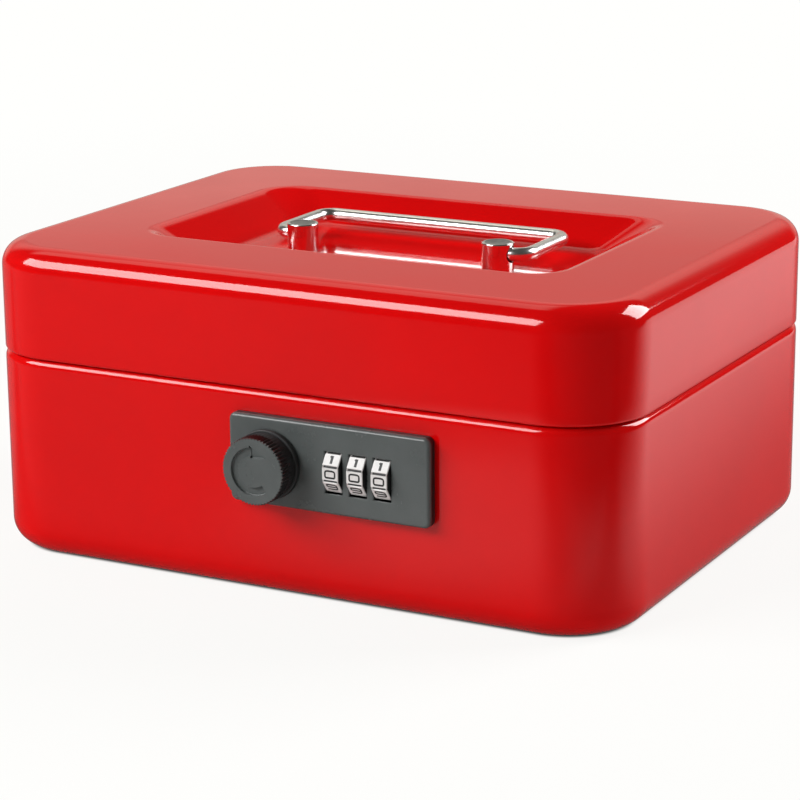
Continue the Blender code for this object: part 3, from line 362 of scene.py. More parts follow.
panel_over = panel_rows(panel_shares[::-1], 0.0)
over_rows = np.vstack([[(*panel_floor, panel_z)], panel_over, [(*mouth_rim, HEIGHT)]])
under_rows = np.vstack([panel_rows(panel_shares, SHEET), [(*panel_floor, panel_z - SHEET)]])
shell_rows = inset_rows(BOX_HALF, CORNER_R, lid_section)
lid_grid = walls(np.vstack([over_rows, shell_rows, under_rows]), lid_columns)
hem_run = (nearest(lid_section, 0.0, LID_NOTCH_Z), nearest(lid_section, SHEET, LID_NOTCH_Z))
hem_runs = [tuple(len(over_rows) + row for row in hem_run)]
lid_sheet = pressed(lid_grid, hinge_cuts(lid_columns, hem_runs))
put("red_lid", [lid_sheet], red_enamel, "lid", ["lid_shell"])

# Hinges: two pairs of 1 mm steel leaves, rolled into barrels and spot welded inside the back walls before
# enamelling, so they are red like the shells. A plated pin runs through each barrel.

HANDS = (("left", -1), ("right", 1))
HINGE_Y = 0.0773
LEAF_Y = (0.0749, 0.0759)
LEAF_HALF = 0.018
LEAF_REACH = 0.018
LEAF_EDGE = 0.00018
LEAF_CORNER = 0.0018
BARREL_R = 0.00237
BARREL_STEPS = 40
BORE_R = 0.0015
BARREL_EDGE = 0.0003
KNUCKLE_HALF = 0.0058
KNUCKLE_GAP = 0.0004
LEAF_CLEAR = BARREL_R + KNUCKLE_GAP
PIN_R = 0.0012
PIN_STEPS = 32
PIN_DOME = 0.0003
ZINC = ((0.56, 0.57, 0.58), (0.47, 0.48, 0.50))


def looped(points):
    """Sheet closed both ways: its last row joins its first again, so that it needs no caps."""
    return pressed(np.concatenate([points, points[:1]]), caps=())


def full_turn(steps):
    """Angles of a full turn in equal steps."""
    return np.linspace(0, 2 * np.pi, steps, endpoint=False)


def turned(profile, axis, centre, steps, caps=(0, -1), closed=False):
    """Turned surface: each (radius, place) of the profile is swept round an axis, so a point is the radius
    times the cosine and sine of the angle on the other two axes. The rows named are capped flat; a closed
    profile joins its last row to its first."""
    angle = full_turn(steps)
    radius, place = np.asarray(profile).T
    first = centre[0] + radius[:, None] * np.cos(angle)
    second = centre[1] + radius[:, None] * np.sin(angle)
    along = np.repeat(place[:, None], steps, 1)
    order = {"x": (along, first, second), "y": (first, along, second), "z": (first, second, along)}
    points = np.stack(order[axis], -1)
    return looped(points) if closed else pressed(points, caps=caps)


def even_columns(steps, run):
    """Columns round a rounded rectangle with the same run on all four sides."""
    return perimeter(steps, run, run, run, run)


def facing(points):
    """A grid drawn in plan stood upright: its second axis becomes height, its third depth."""
    return points[..., [0, 2, 1]]


def leaf(start, end, low, high, corner):
    """Flat of a leaf between two places along the hinge and two heights, with rounded corners and softened
    edges: the rows go in over one edge, straight through and out over the other."""
    front = arc((LEAF_EDGE, LEAF_Y[0] + LEAF_EDGE), LEAF_EDGE, 270, 180, 4)
    rear = arc((LEAF_EDGE, LEAF_Y[1] - LEAF_EDGE), LEAF_EDGE, 180, 90, 4)
    rows = inset_rows(((end - start) / 2, (high - low) / 2), corner, np.vstack([front, rear]))
    columns = even_columns(6, (-NEAR_CORNER, NEAR_CORNER))
    return pressed(facing(walls(rows, columns, ((start + end) / 2, (low + high) / 2))))


def round_bar(radius, start, end, edge, steps):
    """Profile of a turned bar between two places on its axis, a quarter circle rounding each outer edge."""
    first = arc((radius - edge, start + edge), edge, 270, 360, steps)
    last = arc((radius - edge, end - edge), edge, 0, 90, steps)
    return np.vstack([first, last])


def barrel(start, end):
    """Rolled knuckle: a tube about the hinge axis with softened outer edges, as one closed profile."""
    outside = round_bar(BARREL_R, start, end, BARREL_EDGE, 4)
    profile = np.vstack([[(BORE_R, start)], outside, [(BORE_R, end)]])
    return turned(profile, "x", (HINGE_Y, SEAM_Z), BARREL_STEPS, closed=True)


bright_zinc = surface(
    "bright_zinc", ZINC, gloss=(0.22, 0.38), metallic=1.0, cloud=260.0, grain=2600.0, depth=4e-6
)
for hand, side in HANDS:
    hinge = side * HINGE_X
    ends = (hinge - LEAF_HALF, hinge + LEAF_HALF)
    knuckle = (hinge - KNUCKLE_HALF, hinge + KNUCKLE_HALF)
    ears = ((ends[0], knuckle[0] - KNUCKLE_GAP), (knuckle[1] + KNUCKLE_GAP, ends[1]))
    base_flat = leaf(*ends, SEAM_Z - LEAF_REACH, SEAM_Z - LEAF_CLEAR, LEAF_CORNER)
    base_necks = [leaf(*ear, SEAM_Z - LEAF_REACH / 2, SEAM_Z, LEAF_EDGE) for ear in ears]
    base_leaf = [base_flat, *base_necks, *[barrel(*ear) for ear in ears]]
    put("base_leaf_" + hand, base_leaf, red_enamel, "base", ["hinge_base_leaf_" + hand])
    lid_flat = leaf(*ends, SEAM_Z + LEAF_CLEAR, SEAM_Z + LEAF_REACH, LEAF_CORNER)
    lid_neck = leaf(*knuckle, SEAM_Z, SEAM_Z + LEAF_REACH / 2, LEAF_EDGE)
    lid_leaf = [lid_flat, lid_neck, barrel(*knuckle)]
    put("lid_leaf_" + hand, lid_leaf, red_enamel, "lid", ["hinge_lid_leaf_" + hand])
    pin = turned(round_bar(PIN_R, *ends, PIN_DOME, 4), "x", (HINGE_Y, SEAM_Z), PIN_STEPS)
    put("plated_pin_" + hand, [pin], bright_zinc, "base", ["hinge_pin_" + hand])

# Handle posts: two turned brass buttons, chromed, with a lightly dished top and a bored side for the wire.
# Each stands on the panel floor on a threaded stud, held by a zinc washer and a hexagon nut under the lid.

POST_X = 0.032
POST_Y = -0.0045
POST_R = 0.0046
POST_STEPS = 160
POST_TOP = 0.0892
POST_FOOT = 0.0808
POST_EDGE = 0.0004
POST_RIM = 0.0004
POST_DISH = 0.0003
FLANK_RINGS = 72
DISH_R = POST_R - POST_EDGE - POST_RIM
DISH_RINGS = 14
FACE_LIFT = 0.00002
FACE_STEPS = 96
WIRE_R = 0.002
WIRE_Z = 0.0859
PORT_GAP = 0.00025
PORT_DEPTH = 0.003
PORT_SOFT = 0.00022
STUD_R = 0.002
STUD_END = 0.0747
THREAD_PITCH = 0.0007
THREAD_DEPTH = 0.0003
THREAD_WAVE = (0.0, 0.5, 1.0, 0.5)
WASHER_Z = (0.0786, 0.0794)
WASHER_R = 0.0045
WASHER_BORE = 0.0023
WASHER_STEPS = 64
NUT_Z = (0.0753, 0.0783)
NUT_FLATS = 0.007
NUT_CHAMFER = 0.0005
NUT_STEPS = 96
CHROME = ((0.86, 0.85, 0.84), (0.80, 0.79, 0.78))
DULL_CHROME_PAINTED_DARK = ((0.30, 0.30, 0.30), (0.22, 0.22, 0.225))

chrome = surface(
    "chrome", CHROME, gloss=(0.11, 0.17), metallic=1.0, cloud=180.0, grain=1500.0, depth=1e-6
)
# Rougher chrome for the post tops, its colour painted dark as a painted dark reflection.
dull_chrome_painted_dark = surface(
    "dull_chrome_painted_dark", DULL_CHROME_PAINTED_DARK, gloss=(0.30, 0.42), metallic=1.0, cloud=500.0, grain=2600.0, depth=3e-6
)


def dish(lift):
    """Rows of the post's dished top, raised by a lift: the rim's height less the dish's depth times the
    square root of the cosine of a quarter turn over the dish's radius."""
    radius = np.linspace(0, DISH_R, DISH_RINGS)
    height = POST_TOP - POST_DISH * np.cos(radius / DISH_R * np.pi / 2) ** 0.5
    return np.column_stack([radius, height + lift])


def post_face(x):
    """Thin lens in the dish that carries a rougher chrome painted dark, a painted dark reflection: its top
    follows the dish a little higher, its underside lies flat below.
    """
    flat = POST_TOP - POST_DISH - FACE_LIFT
    profile = np.vstack([dish(FACE_LIFT), [(DISH_R, flat)]])
    return turned(profile, "z", (x, POST_Y), FACE_STEPS, caps=(-1,))


def post(side):
    """Turned post with a dished top: the radius follows the profile, less a round port on its outer side,
    whose depth falls away with a smooth step at the port's own radius from the wire's axis."""
    bevel = arc((POST_R - POST_EDGE, POST_TOP - POST_EDGE), POST_EDGE, 90, 0, 8)
    flank_z = np.linspace(POST_TOP - POST_EDGE, POST_FOOT, FLANK_RINGS + 2)[1:-1]
    flank = np.column_stack([np.full(FLANK_RINGS, POST_R), flank_z])
    turns = int((POST_FOOT - STUD_END) / THREAD_PITCH)
    thread_z = np.linspace(POST_FOOT, STUD_END, turns * len(THREAD_WAVE) + 1)
    thread_r = STUD_R - THREAD_DEPTH * np.tile(THREAD_WAVE, turns + 1)[: len(thread_z)]
    stud = np.column_stack([thread_r, thread_z])
    profile = np.vstack([dish(0.0), bevel, flank, [(POST_R, POST_FOOT)], stud])
    points, faces = turned(profile, "z", (0.0, 0.0), POST_STEPS, caps=(-1,))
    away = np.hypot(points[..., 1], points[..., 2] - WIRE_Z) - WIRE_R - PORT_GAP
    bored = np.clip(0.5 - away / PORT_SOFT, 0, 1) * (points[..., 0] * side > 0)
    points[..., 0] -= side * PORT_DEPTH * bored
    return points + [side * POST_X, POST_Y, 0.0], faces


def nut(x):
    """Hexagon nut: at each angle the radius is that of the six flats, or of the chamfer cone where that is
    less, and the bore closes the profile."""
    angle = full_turn(NUT_STEPS)
    sixth = np.pi / 3
    flats = NUT_FLATS / 2 / np.cos((angle + sixth / 2) % sixth - sixth / 2)
    low, high = NUT_Z
    rise = np.array([low, low, low + NUT_CHAMFER, high - NUT_CHAMFER, high, high])
    limit = np.array([WASHER_BORE, NUT_FLATS / 2, NUT_FLATS, NUT_FLATS, NUT_FLATS / 2, WASHER_BORE])
    radius = np.minimum(limit[:, None], flats)
    height = np.repeat(rise[:, None], NUT_STEPS, 1)
    return looped(np.stack([x + radius * np.cos(angle), POST_Y + radius * np.sin(angle), height], -1))


washer_ring = [(radius, WASHER_Z[0]) for radius in (WASHER_BORE, WASHER_R)]
washer_ring += [(radius, WASHER_Z[1]) for radius in (WASHER_R, WASHER_BORE)]
for hand, side in HANDS:
    stand = side * POST_X
    put("chrome_post_" + hand, [post(side)], chrome, "lid", ["handle_post_" + hand], sharp=40.0)
    put("post_face_" + hand, [post_face(stand)], dull_chrome_painted_dark, "lid", sharp=40.0)
    washer = turned(washer_ring, "z", (stand, POST_Y), WASHER_STEPS, closed=True)
    put("plated_washer_" + hand, [washer], bright_zinc, "lid", ["post_washer_" + hand])
    put("plated_nut_" + hand, [nut(stand)], bright_zinc, "lid", ["post_nut_" + hand], sharp=20.0)

# Handle wire: one length of 4 mm steel wire, bent to a flat bail and chromed. Its two ends are sprung into
# the posts, so it swings up and lies back on the panel.

WIRE_TIP = 0.0318
WIRE_ARM = 0.0405
WIRE_BAR = 0.0243
WIRE_BEND = 0.0048
WIRE_ROUND = 0.0006
WIRE_STEPS = 40
SATIN_CHROME = ((0.88, 0.87, 0.86), (0.82, 0.81, 0.80))


def drawn_wire(path):
    """Round wire in a level plane: at each point of the path the circle spans the path's own normal and the
    vertical, and the first and last circles are drawn in to round the cut ends."""
    ahead = np.gradient(path, axis=0)
    ahead /= np.linalg.norm(ahead, axis=1, keepdims=True)
    across = np.column_stack([ahead[:, 1], -ahead[:, 0]])
    angle = full_turn(WIRE_STEPS)
    size = np.full(len(path), WIRE_R)
    size[[0, -1]] = WIRE_R - WIRE_ROUND
    level = path[:, None] + (size[:, None] * np.cos(angle))[..., None] * across[:, None]
    height = WIRE_Z + size[:, None] * np.sin(angle)
    return pressed(np.concatenate([level, height[..., None]], 2))


post_bend = (WIRE_ARM - WIRE_BEND, POST_Y + WIRE_BEND)
bar_bend = (WIRE_ARM - WIRE_BEND, WIRE_BAR - WIRE_BEND)
half_path = np.vstack(
    [
        [(WIRE_TIP, POST_Y), (WIRE_TIP + WIRE_ROUND, POST_Y), (post_bend[0] - TANGENT, POST_Y)],
        arc(post_bend, WIRE_BEND, -90, 0, 20),
        [(WIRE_ARM, post_bend[1] + TANGENT), (WIRE_ARM, bar_bend[1] - TANGENT)],
        arc(bar_bend, WIRE_BEND, 0, 90, 20),
        [(bar_bend[0] - TANGENT, WIRE_BAR)],
    ]
)
wire = drawn_wire(np.vstack([half_path, half_path[::-1] * (-1, 1)]))
satin_chrome = surface(
    "satin_chrome", SATIN_CHROME, gloss=(0.22, 0.26), metallic=1.0, cloud=180.0, grain=1500.0, depth=1e-6
)
put("chrome_wire", [wire], satin_chrome, "bail", ["handle_bail"], sharp=50.0)

# Strike: a bent steel tongue with a window that the latch's claw turns into. It is welded inside the front
# of the lid and enamelled with it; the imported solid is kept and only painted.


def dress(name, finish):
    """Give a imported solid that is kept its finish."""
    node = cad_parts[name]
    node.data.materials.clear()
    node.data.materials.append(finish)


dress("strike_bracket", red_enamel)

# Lock front: a moulding in two layers, a dark grey-green face with rounded edges on a black back, and a
# box-shaped body through the window. Three slots let the number wheels through. It is clamped by the rear
# case behind the wall.

LOCK_Z = 0.0393
PLATE_CENTRE = (0.018075, 0.0398)
PLATE_HALF = (0.030775, 0.0125)
PLATE_BACK = -0.0773
PLATE_FRONT = -0.0803
PLATE_R = 0.002
PLATE_EDGE = 0.0011
PLATE_SKIN = PLATE_FRONT + PLATE_EDGE
PLATE_FIELD = (0.0285, 0.0108)
SLOT_HALF = 0.0026
SLOT_REACH = 0.00584
SLOT_BACK_REACH = 0.0073
SLOT_DROP = 0.00021
SLOT_Z = LOCK_Z - SLOT_DROP
SLOT_EDGE = 0.00028
SLOT_MOUTH = (SLOT_HALF + SLOT_EDGE, SLOT_REACH + SLOT_EDGE, 0.0)
SLOT_BACK = (SLOT_HALF + SLOT_EDGE, SLOT_BACK_REACH, 0.0)
WHEEL_X = (0.01985, 0.02725, 0.03465)
BODY_X = (-0.0085, 0.04735)
BODY_HALF = ((BODY_X[1] - BODY_X[0]) / 2, 0.0095)
BODY_WALL = 0.0015
BODY_R = 0.001
BODY_Y = (-0.0791, -0.064)
DARK_GREY = ((0.094, 0.104, 0.103), (0.078, 0.088, 0.087))
BLACK = ((0.016, 0.016, 0.017), (0.024, 0.024, 0.025))

dark_moulding = surface(
    "dark_moulding", DARK_GREY, gloss=(0.20, 0.30), metallic=0.0, cloud=90.0, grain=3800.0, depth=7e-6
)
black_moulding = surface(
    "black_moulding", BLACK, gloss=(0.38, 0.55), metallic=0.0, cloud=90.0, grain=2400.0, depth=1.2e-5
)


def lock_layer(section, slot_rows):
    """Layer of the plate with three slots. Rounded rows run from a plain rectangle at its back, over a
    section of (inset, depth), to the same rectangle at its front; a flat field of cells less the slots
    closes each of the two, and each slot has rows of its own."""
    gaps = [offset + edge for offset in WHEEL_X for edge in (-SLOT_MOUTH[0], SLOT_MOUTH[0])]
    across = np.array([-PLATE_FIELD[0], *(np.array(gaps) - PLATE_CENTRE[0]), PLATE_FIELD[0]])
    drop = SLOT_Z - PLATE_CENTRE[1]
    reaches = drop + np.array([-SLOT_BACK[1], -SLOT_MOUTH[1], SLOT_MOUTH[1], SLOT_BACK[1]])
    upward = np.array([-PLATE_FIELD[1], *reaches, PLATE_FIELD[1]])
    level_run = tuple(across[1:-1] / PLATE_FIELD[0])
    upright_run = tuple(upward[1:-1] / PLATE_FIELD[1])
    ends = (section[0][1], section[-1][1])
    rows = inset_rows(PLATE_HALF, PLATE_R, section)
    rows = np.vstack([[(*PLATE_FIELD, 0.0, ends[0])], rows, [(*PLATE_FIELD, 0.0, ends[1])]])
    columns = perimeter(10, upright_run, level_run, upright_run, level_run)
    surfaces = [pressed(facing(walls(rows, columns, PLATE_CENTRE)), caps=())]
    field_x, field_z = np.meshgrid(across + PLATE_CENTRE[0], upward + PLATE_CENTRE[1])
    index = np.arange(field_x.size).reshape(field_x.shape)
    cells = np.stack([index[:-1, :-1], index[:-1, 1:], index[1:, 1:], index[1:, :-1]], -1)
    middles = np.abs((upward[1:] + upward[:-1]) / 2 - drop)
    for y, slot_reach in zip(ends, (slot_rows[-1][1], slot_rows[0][1])):
        keep = np.ones(cells.shape[:2], bool)
        keep[middles < slot_reach, 1::2] = False
        surfaces.append((np.stack([field_x, np.full(field_x.shape, y), field_z], -1), [cells[keep]]))
    square = even_columns(1, ())
    surfaces += [pressed(facing(walls(slot_rows, square, (x, SLOT_Z))), caps=()) for x in WHEEL_X]
    return surfaces


face_edge = arc((PLATE_EDGE, PLATE_SKIN), PLATE_EDGE, 180, 270, 12)
face_slots = [
    (*SLOT_MOUTH, PLATE_FRONT),
    (SLOT_HALF, SLOT_REACH, 0.0, PLATE_FRONT + SLOT_EDGE),
    (*SLOT_MOUTH, PLATE_SKIN),
]
lock_face = lock_layer(np.vstack([face_edge, [(PLATE_EDGE + TANGENT, PLATE_FRONT)]]), face_slots)
back_slots = [(*SLOT_MOUTH, PLATE_SKIN), (*SLOT_BACK, PLATE_BACK)]
lock_back = lock_layer([(0.0, PLATE_BACK), (0.0, PLATE_SKIN)], back_slots)
body_inside = (BODY_HALF[0] - BODY_WALL, BODY_HALF[1] - BODY_WALL, 0.0)
body_rows = [(*BODY_HALF, BODY_R, y) for y in BODY_Y]
body_rows += [(*body_inside, y) for y in BODY_Y[::-1]]
body_columns = even_columns(4, (-NEAR_CORNER, NEAR_CORNER))
lock_body = looped(facing(walls(body_rows, body_columns, (sum(BODY_X) / 2, LOCK_Z))))
put("lock_front", lock_face, dark_moulding, "base", ["lock_housing"])
put("lock_back", [*lock_back, lock_body], black_moulding, "base")

# Lock works behind the front: a black moulded case drawn on by two screws, the wheels' steel axle and comb
# spring, the sliding and lifting bars of the code, the gate sleeves that turn with the wheels, and the
# knob's spindle with its latch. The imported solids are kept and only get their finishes.

STEEL = ((0.46, 0.46, 0.47), (0.36, 0.36, 0.38))

spring_steel = surface(
    "spring_steel", STEEL, gloss=(0.22, 0.36), metallic=1.0, cloud=400.0, grain=3000.0, depth=3e-6
)
works = {
    "lock_rear_case": (black_moulding, "black_plastic"),
    "case_screw_left": (bright_zinc, "zinc"),
    "case_screw_right": (bright_zinc, "zinc"),
    "wheel_axle": (bright_zinc, "zinc"),
    "detent_spring": (spring_steel, "spring_steel"),
    "gate_sleeve_1": (bright_zinc, "zinc"),
    "gate_sleeve_2": (bright_zinc, "zinc"),
    "gate_sleeve_3": (bright_zinc, "zinc"),
    "code_slide": (black_moulding, "black_plastic"),
    "locking_bar": (spring_steel, "spring_steel"),
    "knob_spindle": (bright_zinc, "zinc"),
    "latch_hook": (bright_zinc, "zinc"),
    "latch_screw": (bright_zinc, "zinc"),
}
for name, (finish, slot) in works.items():
    dress(name, finish)

# Knob: a moulding with a dark face like the plate, and a black grip of fine serrations and a black flange
# behind it. A turning arrow is sunk into the face. It is pressed on the spindle that works the latch.

KNOB_BACK = -0.0806
KNOB_FACE = -0.0893
KNOB_R = 0.0095
FLANGE_R = 0.0098
FLANGE_Y = -0.0822
FLANGE_EDGE = 0.0003
FLANGE_STEPS = 160
NECK_R = 0.0091
GRIP_END = -0.0857
GRIP_SKIN = -0.08885
GRIP_HOLLOW = (0.0078, -0.088)
GRIP_TEETH = 60
TOOTH_STEPS = 8
GRIP_DEPTH = 0.00042
GRIP_RUN = 0.0004
GRIP_RINGS = 12
RIM_EASE = 0.0002
FACE_R = KNOB_R - RIM_EASE
FACE_MARGIN = 0.0004
FACE_RINGS = 100
ARROW_R = (0.0044, 0.0067)
ARROW_TURN = (97.0, 308.0)
HEAD_R = (0.0039, 0.0073)
HEAD_TIP = (0.0059, 46.0)
ARROW_DEPTH = 0.0009
ARROW_SOFT = 0.0001


def polar(radius, turn):
    """Place on the knob's face at a radius and a turn in degrees: the radius times its cosine and sine."""
    return radius * np.array([np.cos(np.radians(turn)), np.sin(np.radians(turn))])


def arrow_depth(x, z):
    """Share of the arrow's depth at a place on the face: one inside the ring between its two radii and
    turns or inside the triangle of the head, none outside, with a smooth step over the signed distance."""
    radius = np.hypot(x, z)
    turn = np.degrees(np.arctan2(z, x)) % 360
    middle = sum(ARROW_TURN) / 2
    swing = np.abs((turn - middle + 180) % 360 - 180) - (ARROW_TURN[1] - middle)
    along = swing * np.pi / 180 * radius
    ring = np.maximum(np.abs(radius - sum(ARROW_R) / 2) - (ARROW_R[1] - ARROW_R[0]) / 2, along)
    corners = [*[polar(reach, ARROW_TURN[0]) for reach in HEAD_R], polar(*HEAD_TIP)]
    sides = []
    for start, end in zip(corners, corners[1:] + corners[:1]):
        step = (end - start) / np.linalg.norm(end - start)
        sides.append((x - start[0]) * -step[1] + (z - start[1]) * step[0])
    head = np.max(sides, axis=0)
    share = np.clip(0.5 - np.minimum(ring, head) / ARROW_SOFT, 0, 1)
    return share * share * (3 - 2 * share)


def knurled(profile, caps):
    """Profile turned about the knob's axis. Over the grip its radius is cut by a triangle wave of sixty
    teeth, which fades out behind it, and on the face the sunken arrow is set back along the axis."""
    points, faces = turned(profile, "y", (0.0, 0.0), GRIP_TEETH * TOOTH_STEPS, caps)
    x, y, z = np.moveaxis(points, -1, 0)
    radius = np.hypot(x, z)
    wave = np.abs((np.arctan2(z, x) * GRIP_TEETH / (2 * np.pi)) % 1 - 0.5) * 2
    fade = np.clip((GRIP_END + GRIP_RUN - y) / GRIP_RUN, 0, 1) * (radius > FACE_R - 10 * HAIR)
    trim = 1 - GRIP_DEPTH * wave * fade / np.maximum(radius, HAIR)
    on_face = (y < KNOB_FACE + HAIR) & (radius < FACE_R - FACE_MARGIN)
    sunk = np.where(on_face, arrow_depth(x, z) * ARROW_DEPTH, 0.0)
    return np.stack([x * trim, y + sunk, z * trim + LOCK_Z], -1), faces


disc_r = np.linspace(0, FACE_R - 2 * GRIP_DEPTH, FACE_RINGS)
disc_rows = np.column_stack([disc_r, np.full(FACE_RINGS, KNOB_FACE)])
rim_rows = [(FACE_R, KNOB_FACE), (KNOB_R, KNOB_FACE + RIM_EASE), (KNOB_R, GRIP_SKIN)]
hollow_rows = [(GRIP_HOLLOW[0], GRIP_SKIN), GRIP_HOLLOW]
grip_y = np.linspace(GRIP_SKIN, GRIP_END, GRIP_RINGS)
grip_rows = np.column_stack([np.full(GRIP_RINGS, KNOB_R), grip_y])
neck_rows = [(NECK_R, GRIP_END + GRIP_RUN), (NECK_R, FLANGE_Y)]
flange_rows = round_bar(FLANGE_R, FLANGE_Y, KNOB_BACK, FLANGE_EDGE, 6)
knob_flange = turned(flange_rows, "y", (0.0, LOCK_Z), FLANGE_STEPS)
knob_face = knurled(np.vstack([disc_rows, rim_rows, hollow_rows]), (-1,))
knob_grip = knurled(np.vstack([hollow_rows[::-1], grip_rows, neck_rows]), (0, -1))
put("knob_face", [knob_face], dark_moulding, "knob", ["lock_knob"], sharp=38.0)
put("knob_grip", [knob_grip, knob_flange], black_moulding, "knob", sharp=38.0)

# Number wheels: three black mouldings with ten flats each, hot-foiled in silver over the rim, with a groove
# across every corner and figures printed in black, nought to nine. They turn on the axle and stand proud of
# the plate through its slots.

AXLE_Y = -0.0757328
WHEEL_R = 0.0068
WHEEL_HALF = 0.00243
WHEEL_FACES = 10
WHEEL_SECTOR = 2 * np.pi / WHEEL_FACES
WHEEL_FLAT = WHEEL_R * np.cos(WHEEL_SECTOR / 2)
WHEEL_BORE = 0.0035
WHEEL_EDGE = 0.00016
WHEEL_ROWS = 24
RIM_STEPS = 36
CORE_STEPS = 12
FOIL_REACH = 0.00034
CORE_PROUD = 0.00002
GROOVE_HALF = 0.0004
GROOVE_DEPTH = 0.0005
GROOVE_REACH = 0.00195
GROOVE_END = 0.0002
NICK_START = 0.00222
NICK_DEPTH = 0.0003
FIGURE_HALF = (0.00148, 0.00095)
FIGURE_STROKE = 0.0005
FIGURE_CUT = 0.17
FIGURE_ROUNDS = 2
FIGURE_LIFT = 0.000015
INK_LIFT = 0.00006
INK_WIDTH = 0.00064
INK_STEPS = 6
SILVER = ((0.74, 0.72, 0.71), (0.66, 0.645, 0.635))
INK = ((0.012, 0.012, 0.013), (0.022, 0.021, 0.022))
FIGURES = (
    (((0, -1), (1, -1), (1, 1), (-1, 1), (-1, -1), (0, -1)),),
    (((-0.09, 1.2), (-0.09, -1.2)), ((0.09, 1.2), (0.09, -1.2)), ((-0.4, 0.7), (-0.09, 1.1))),
    (((-1, 1), (1, 1), (1, 0.05), (-1, -0.05), (-1, -1), (1, -1)),),
    (((-1, 1), (1, 1), (1, -1), (-1, -1)), ((-0.5, 0), (1, 0))),
    (((-1, 1), (-1, -0.15), (1, -0.15)), ((0.55, 1), (0.55, -1))),
    (((1, 1), (-1, 1), (-1, 0.05), (1, -0.05), (1, -1), (-1, -1)),),
    (((1, 1), (-1, 1), (-1, -1), (1, -1), (1, 0), (-1, 0)),),
    (((-1, 1), (1, 1), (-0.1, -1)),),
    (((0, -1), (1, -1), (1, 1), (-1, 1), (-1, -1), (0, -1)), ((-1, 0), (1, 0))),
    (((-1, -1), (1, -1), (1, 1), (-1, 1), (-1, 0), (1, 0)),),
)


def ten_sided(steps):
    """Angles round a wheel, so many steps to a flat, each one's angle off the middle of its flat, and the
    outline's radius: the distance of the flats over the cosine of that second angle."""
    angle = full_turn(WHEEL_FACES * steps)
    off = (angle + WHEEL_SECTOR / 2) % WHEEL_SECTOR - WHEEL_SECTOR / 2
    return angle, off, WHEEL_FLAT / np.cos(off)


def about_axle(x, across, radius, angle):
    """Ring about the wheels' axle: each row lies across the wheel at a distance from its middle, and goes
    forward by the radius times the cosine of the angle and up by the radius times its sine."""
    along = np.repeat(x + np.asarray(across)[:, None], len(angle), 1)
    return looped(np.stack([along, AXLE_Y - radius * np.cos(angle), LOCK_Z + radius * np.sin(angle)], -1))


def number_wheel(x):
    """Ten-sided rim of a wheel: the radius is that of the flats, less a groove of rounded section at each
    corner, which fades out before the wheel's sides and comes back as a nick at the very edge."""
    angle, off, outline = ten_sided(RIM_STEPS)
    from_corner = (WHEEL_SECTOR / 2 - np.abs(off)) * WHEEL_R
    dip = np.clip(1 - (from_corner / GROOVE_HALF) ** 2, 0, 1) ** 0.5
    edge = -WHEEL_HALF + arc((WHEEL_EDGE, 0), WHEEL_EDGE, 180, 90, 3)[:, 0]
    inner = np.linspace(0, WHEEL_HALF - WHEEL_EDGE, WHEEL_ROWS)
    across = np.concatenate([edge, -inner[::-1][1:]])
    across = np.concatenate([across, -across[::-1][1:]])
    draw = np.maximum(np.abs(across) - WHEEL_HALF + WHEEL_EDGE, 0)
    soften = WHEEL_EDGE - np.sqrt(np.maximum(WHEEL_EDGE**2 - draw**2, 0))
    fade = np.clip((GROOVE_REACH + GROOVE_END - np.abs(across)) / GROOVE_END, 0, 1)
    nick = np.clip((np.abs(across) - NICK_START) / GROOVE_END, 0, 1)
    depth = GROOVE_DEPTH * fade + NICK_DEPTH * nick
    radius = outline - soften[:, None] - depth[:, None] * dip
    bore = np.full((1, len(angle)), WHEEL_BORE)
    radius = np.concatenate([bore, radius, bore])
    return about_axle(x, [-WHEEL_HALF, *across, WHEEL_HALF], radius, angle)


def wheel_core(x):
    """Black core of a wheel: the ten-sided outline drawn in by the foil's reach, a hair wider than the
    foiled rim, so that only the rim's own edge shows silver from the side."""
    angle, _, outline = ten_sided(CORE_STEPS)
    outline = outline - FOIL_REACH
    bore = np.full(len(angle), WHEEL_BORE)
    half = WHEEL_HALF + CORE_PROUD
    return about_axle(x, [-half, -half, half, half], np.stack([bore, outline, outline, bore]), angle)


def softened(path):
    """Path with its corners cut: each round puts two points on every leg, a set share in from its ends."""
    path = np.asarray(path, float)
    for _ in range(FIGURE_ROUNDS):
        step = (path[1:] - path[:-1]) * FIGURE_CUT
        legs = np.stack([path[:-1] + step, path[1:] - step], 1)
        path = np.concatenate([path[:1], legs.reshape(-1, 2), path[-1:]])
    return path


def printed(path, width, lift, turn, x):
    """Printed stroke on a flat of the wheel: a ribbon of the given width along the path, with a thin wall
    on each side, laid at a lift above the flat and turned about the axle."""
    ahead = np.gradient(path, axis=0)
    ahead /= np.maximum(np.linalg.norm(ahead, axis=1, keepdims=True), HAIR)
    aside = np.column_stack([-ahead[:, 1], ahead[:, 0]]) * width / 2
    ring = np.stack([path + aside, path - aside, path - aside, path + aside], 1)
    out = np.broadcast_to(WHEEL_FLAT + np.array([lift, lift, -INK_LIFT, -INK_LIFT]), ring.shape[:2])
    y = AXLE_Y - out * np.cos(turn) + ring[..., 1] * np.sin(turn)
    z = LOCK_Z + out * np.sin(turn) + ring[..., 1] * np.cos(turn)
    return pressed(np.stack([x + ring[..., 0], y, z], -1))


def inked_groove(x, turn):
    """Ink lying in a groove: a flat strip across the groove's corner, a little above its floor."""
    floor = WHEEL_R - GROOVE_DEPTH + INK_LIFT - WHEEL_FLAT
    across = np.linspace(-GROOVE_REACH, GROOVE_REACH, INK_STEPS)
    return printed(np.column_stack([across, np.zeros(INK_STEPS)]), INK_WIDTH, floor, turn, x)


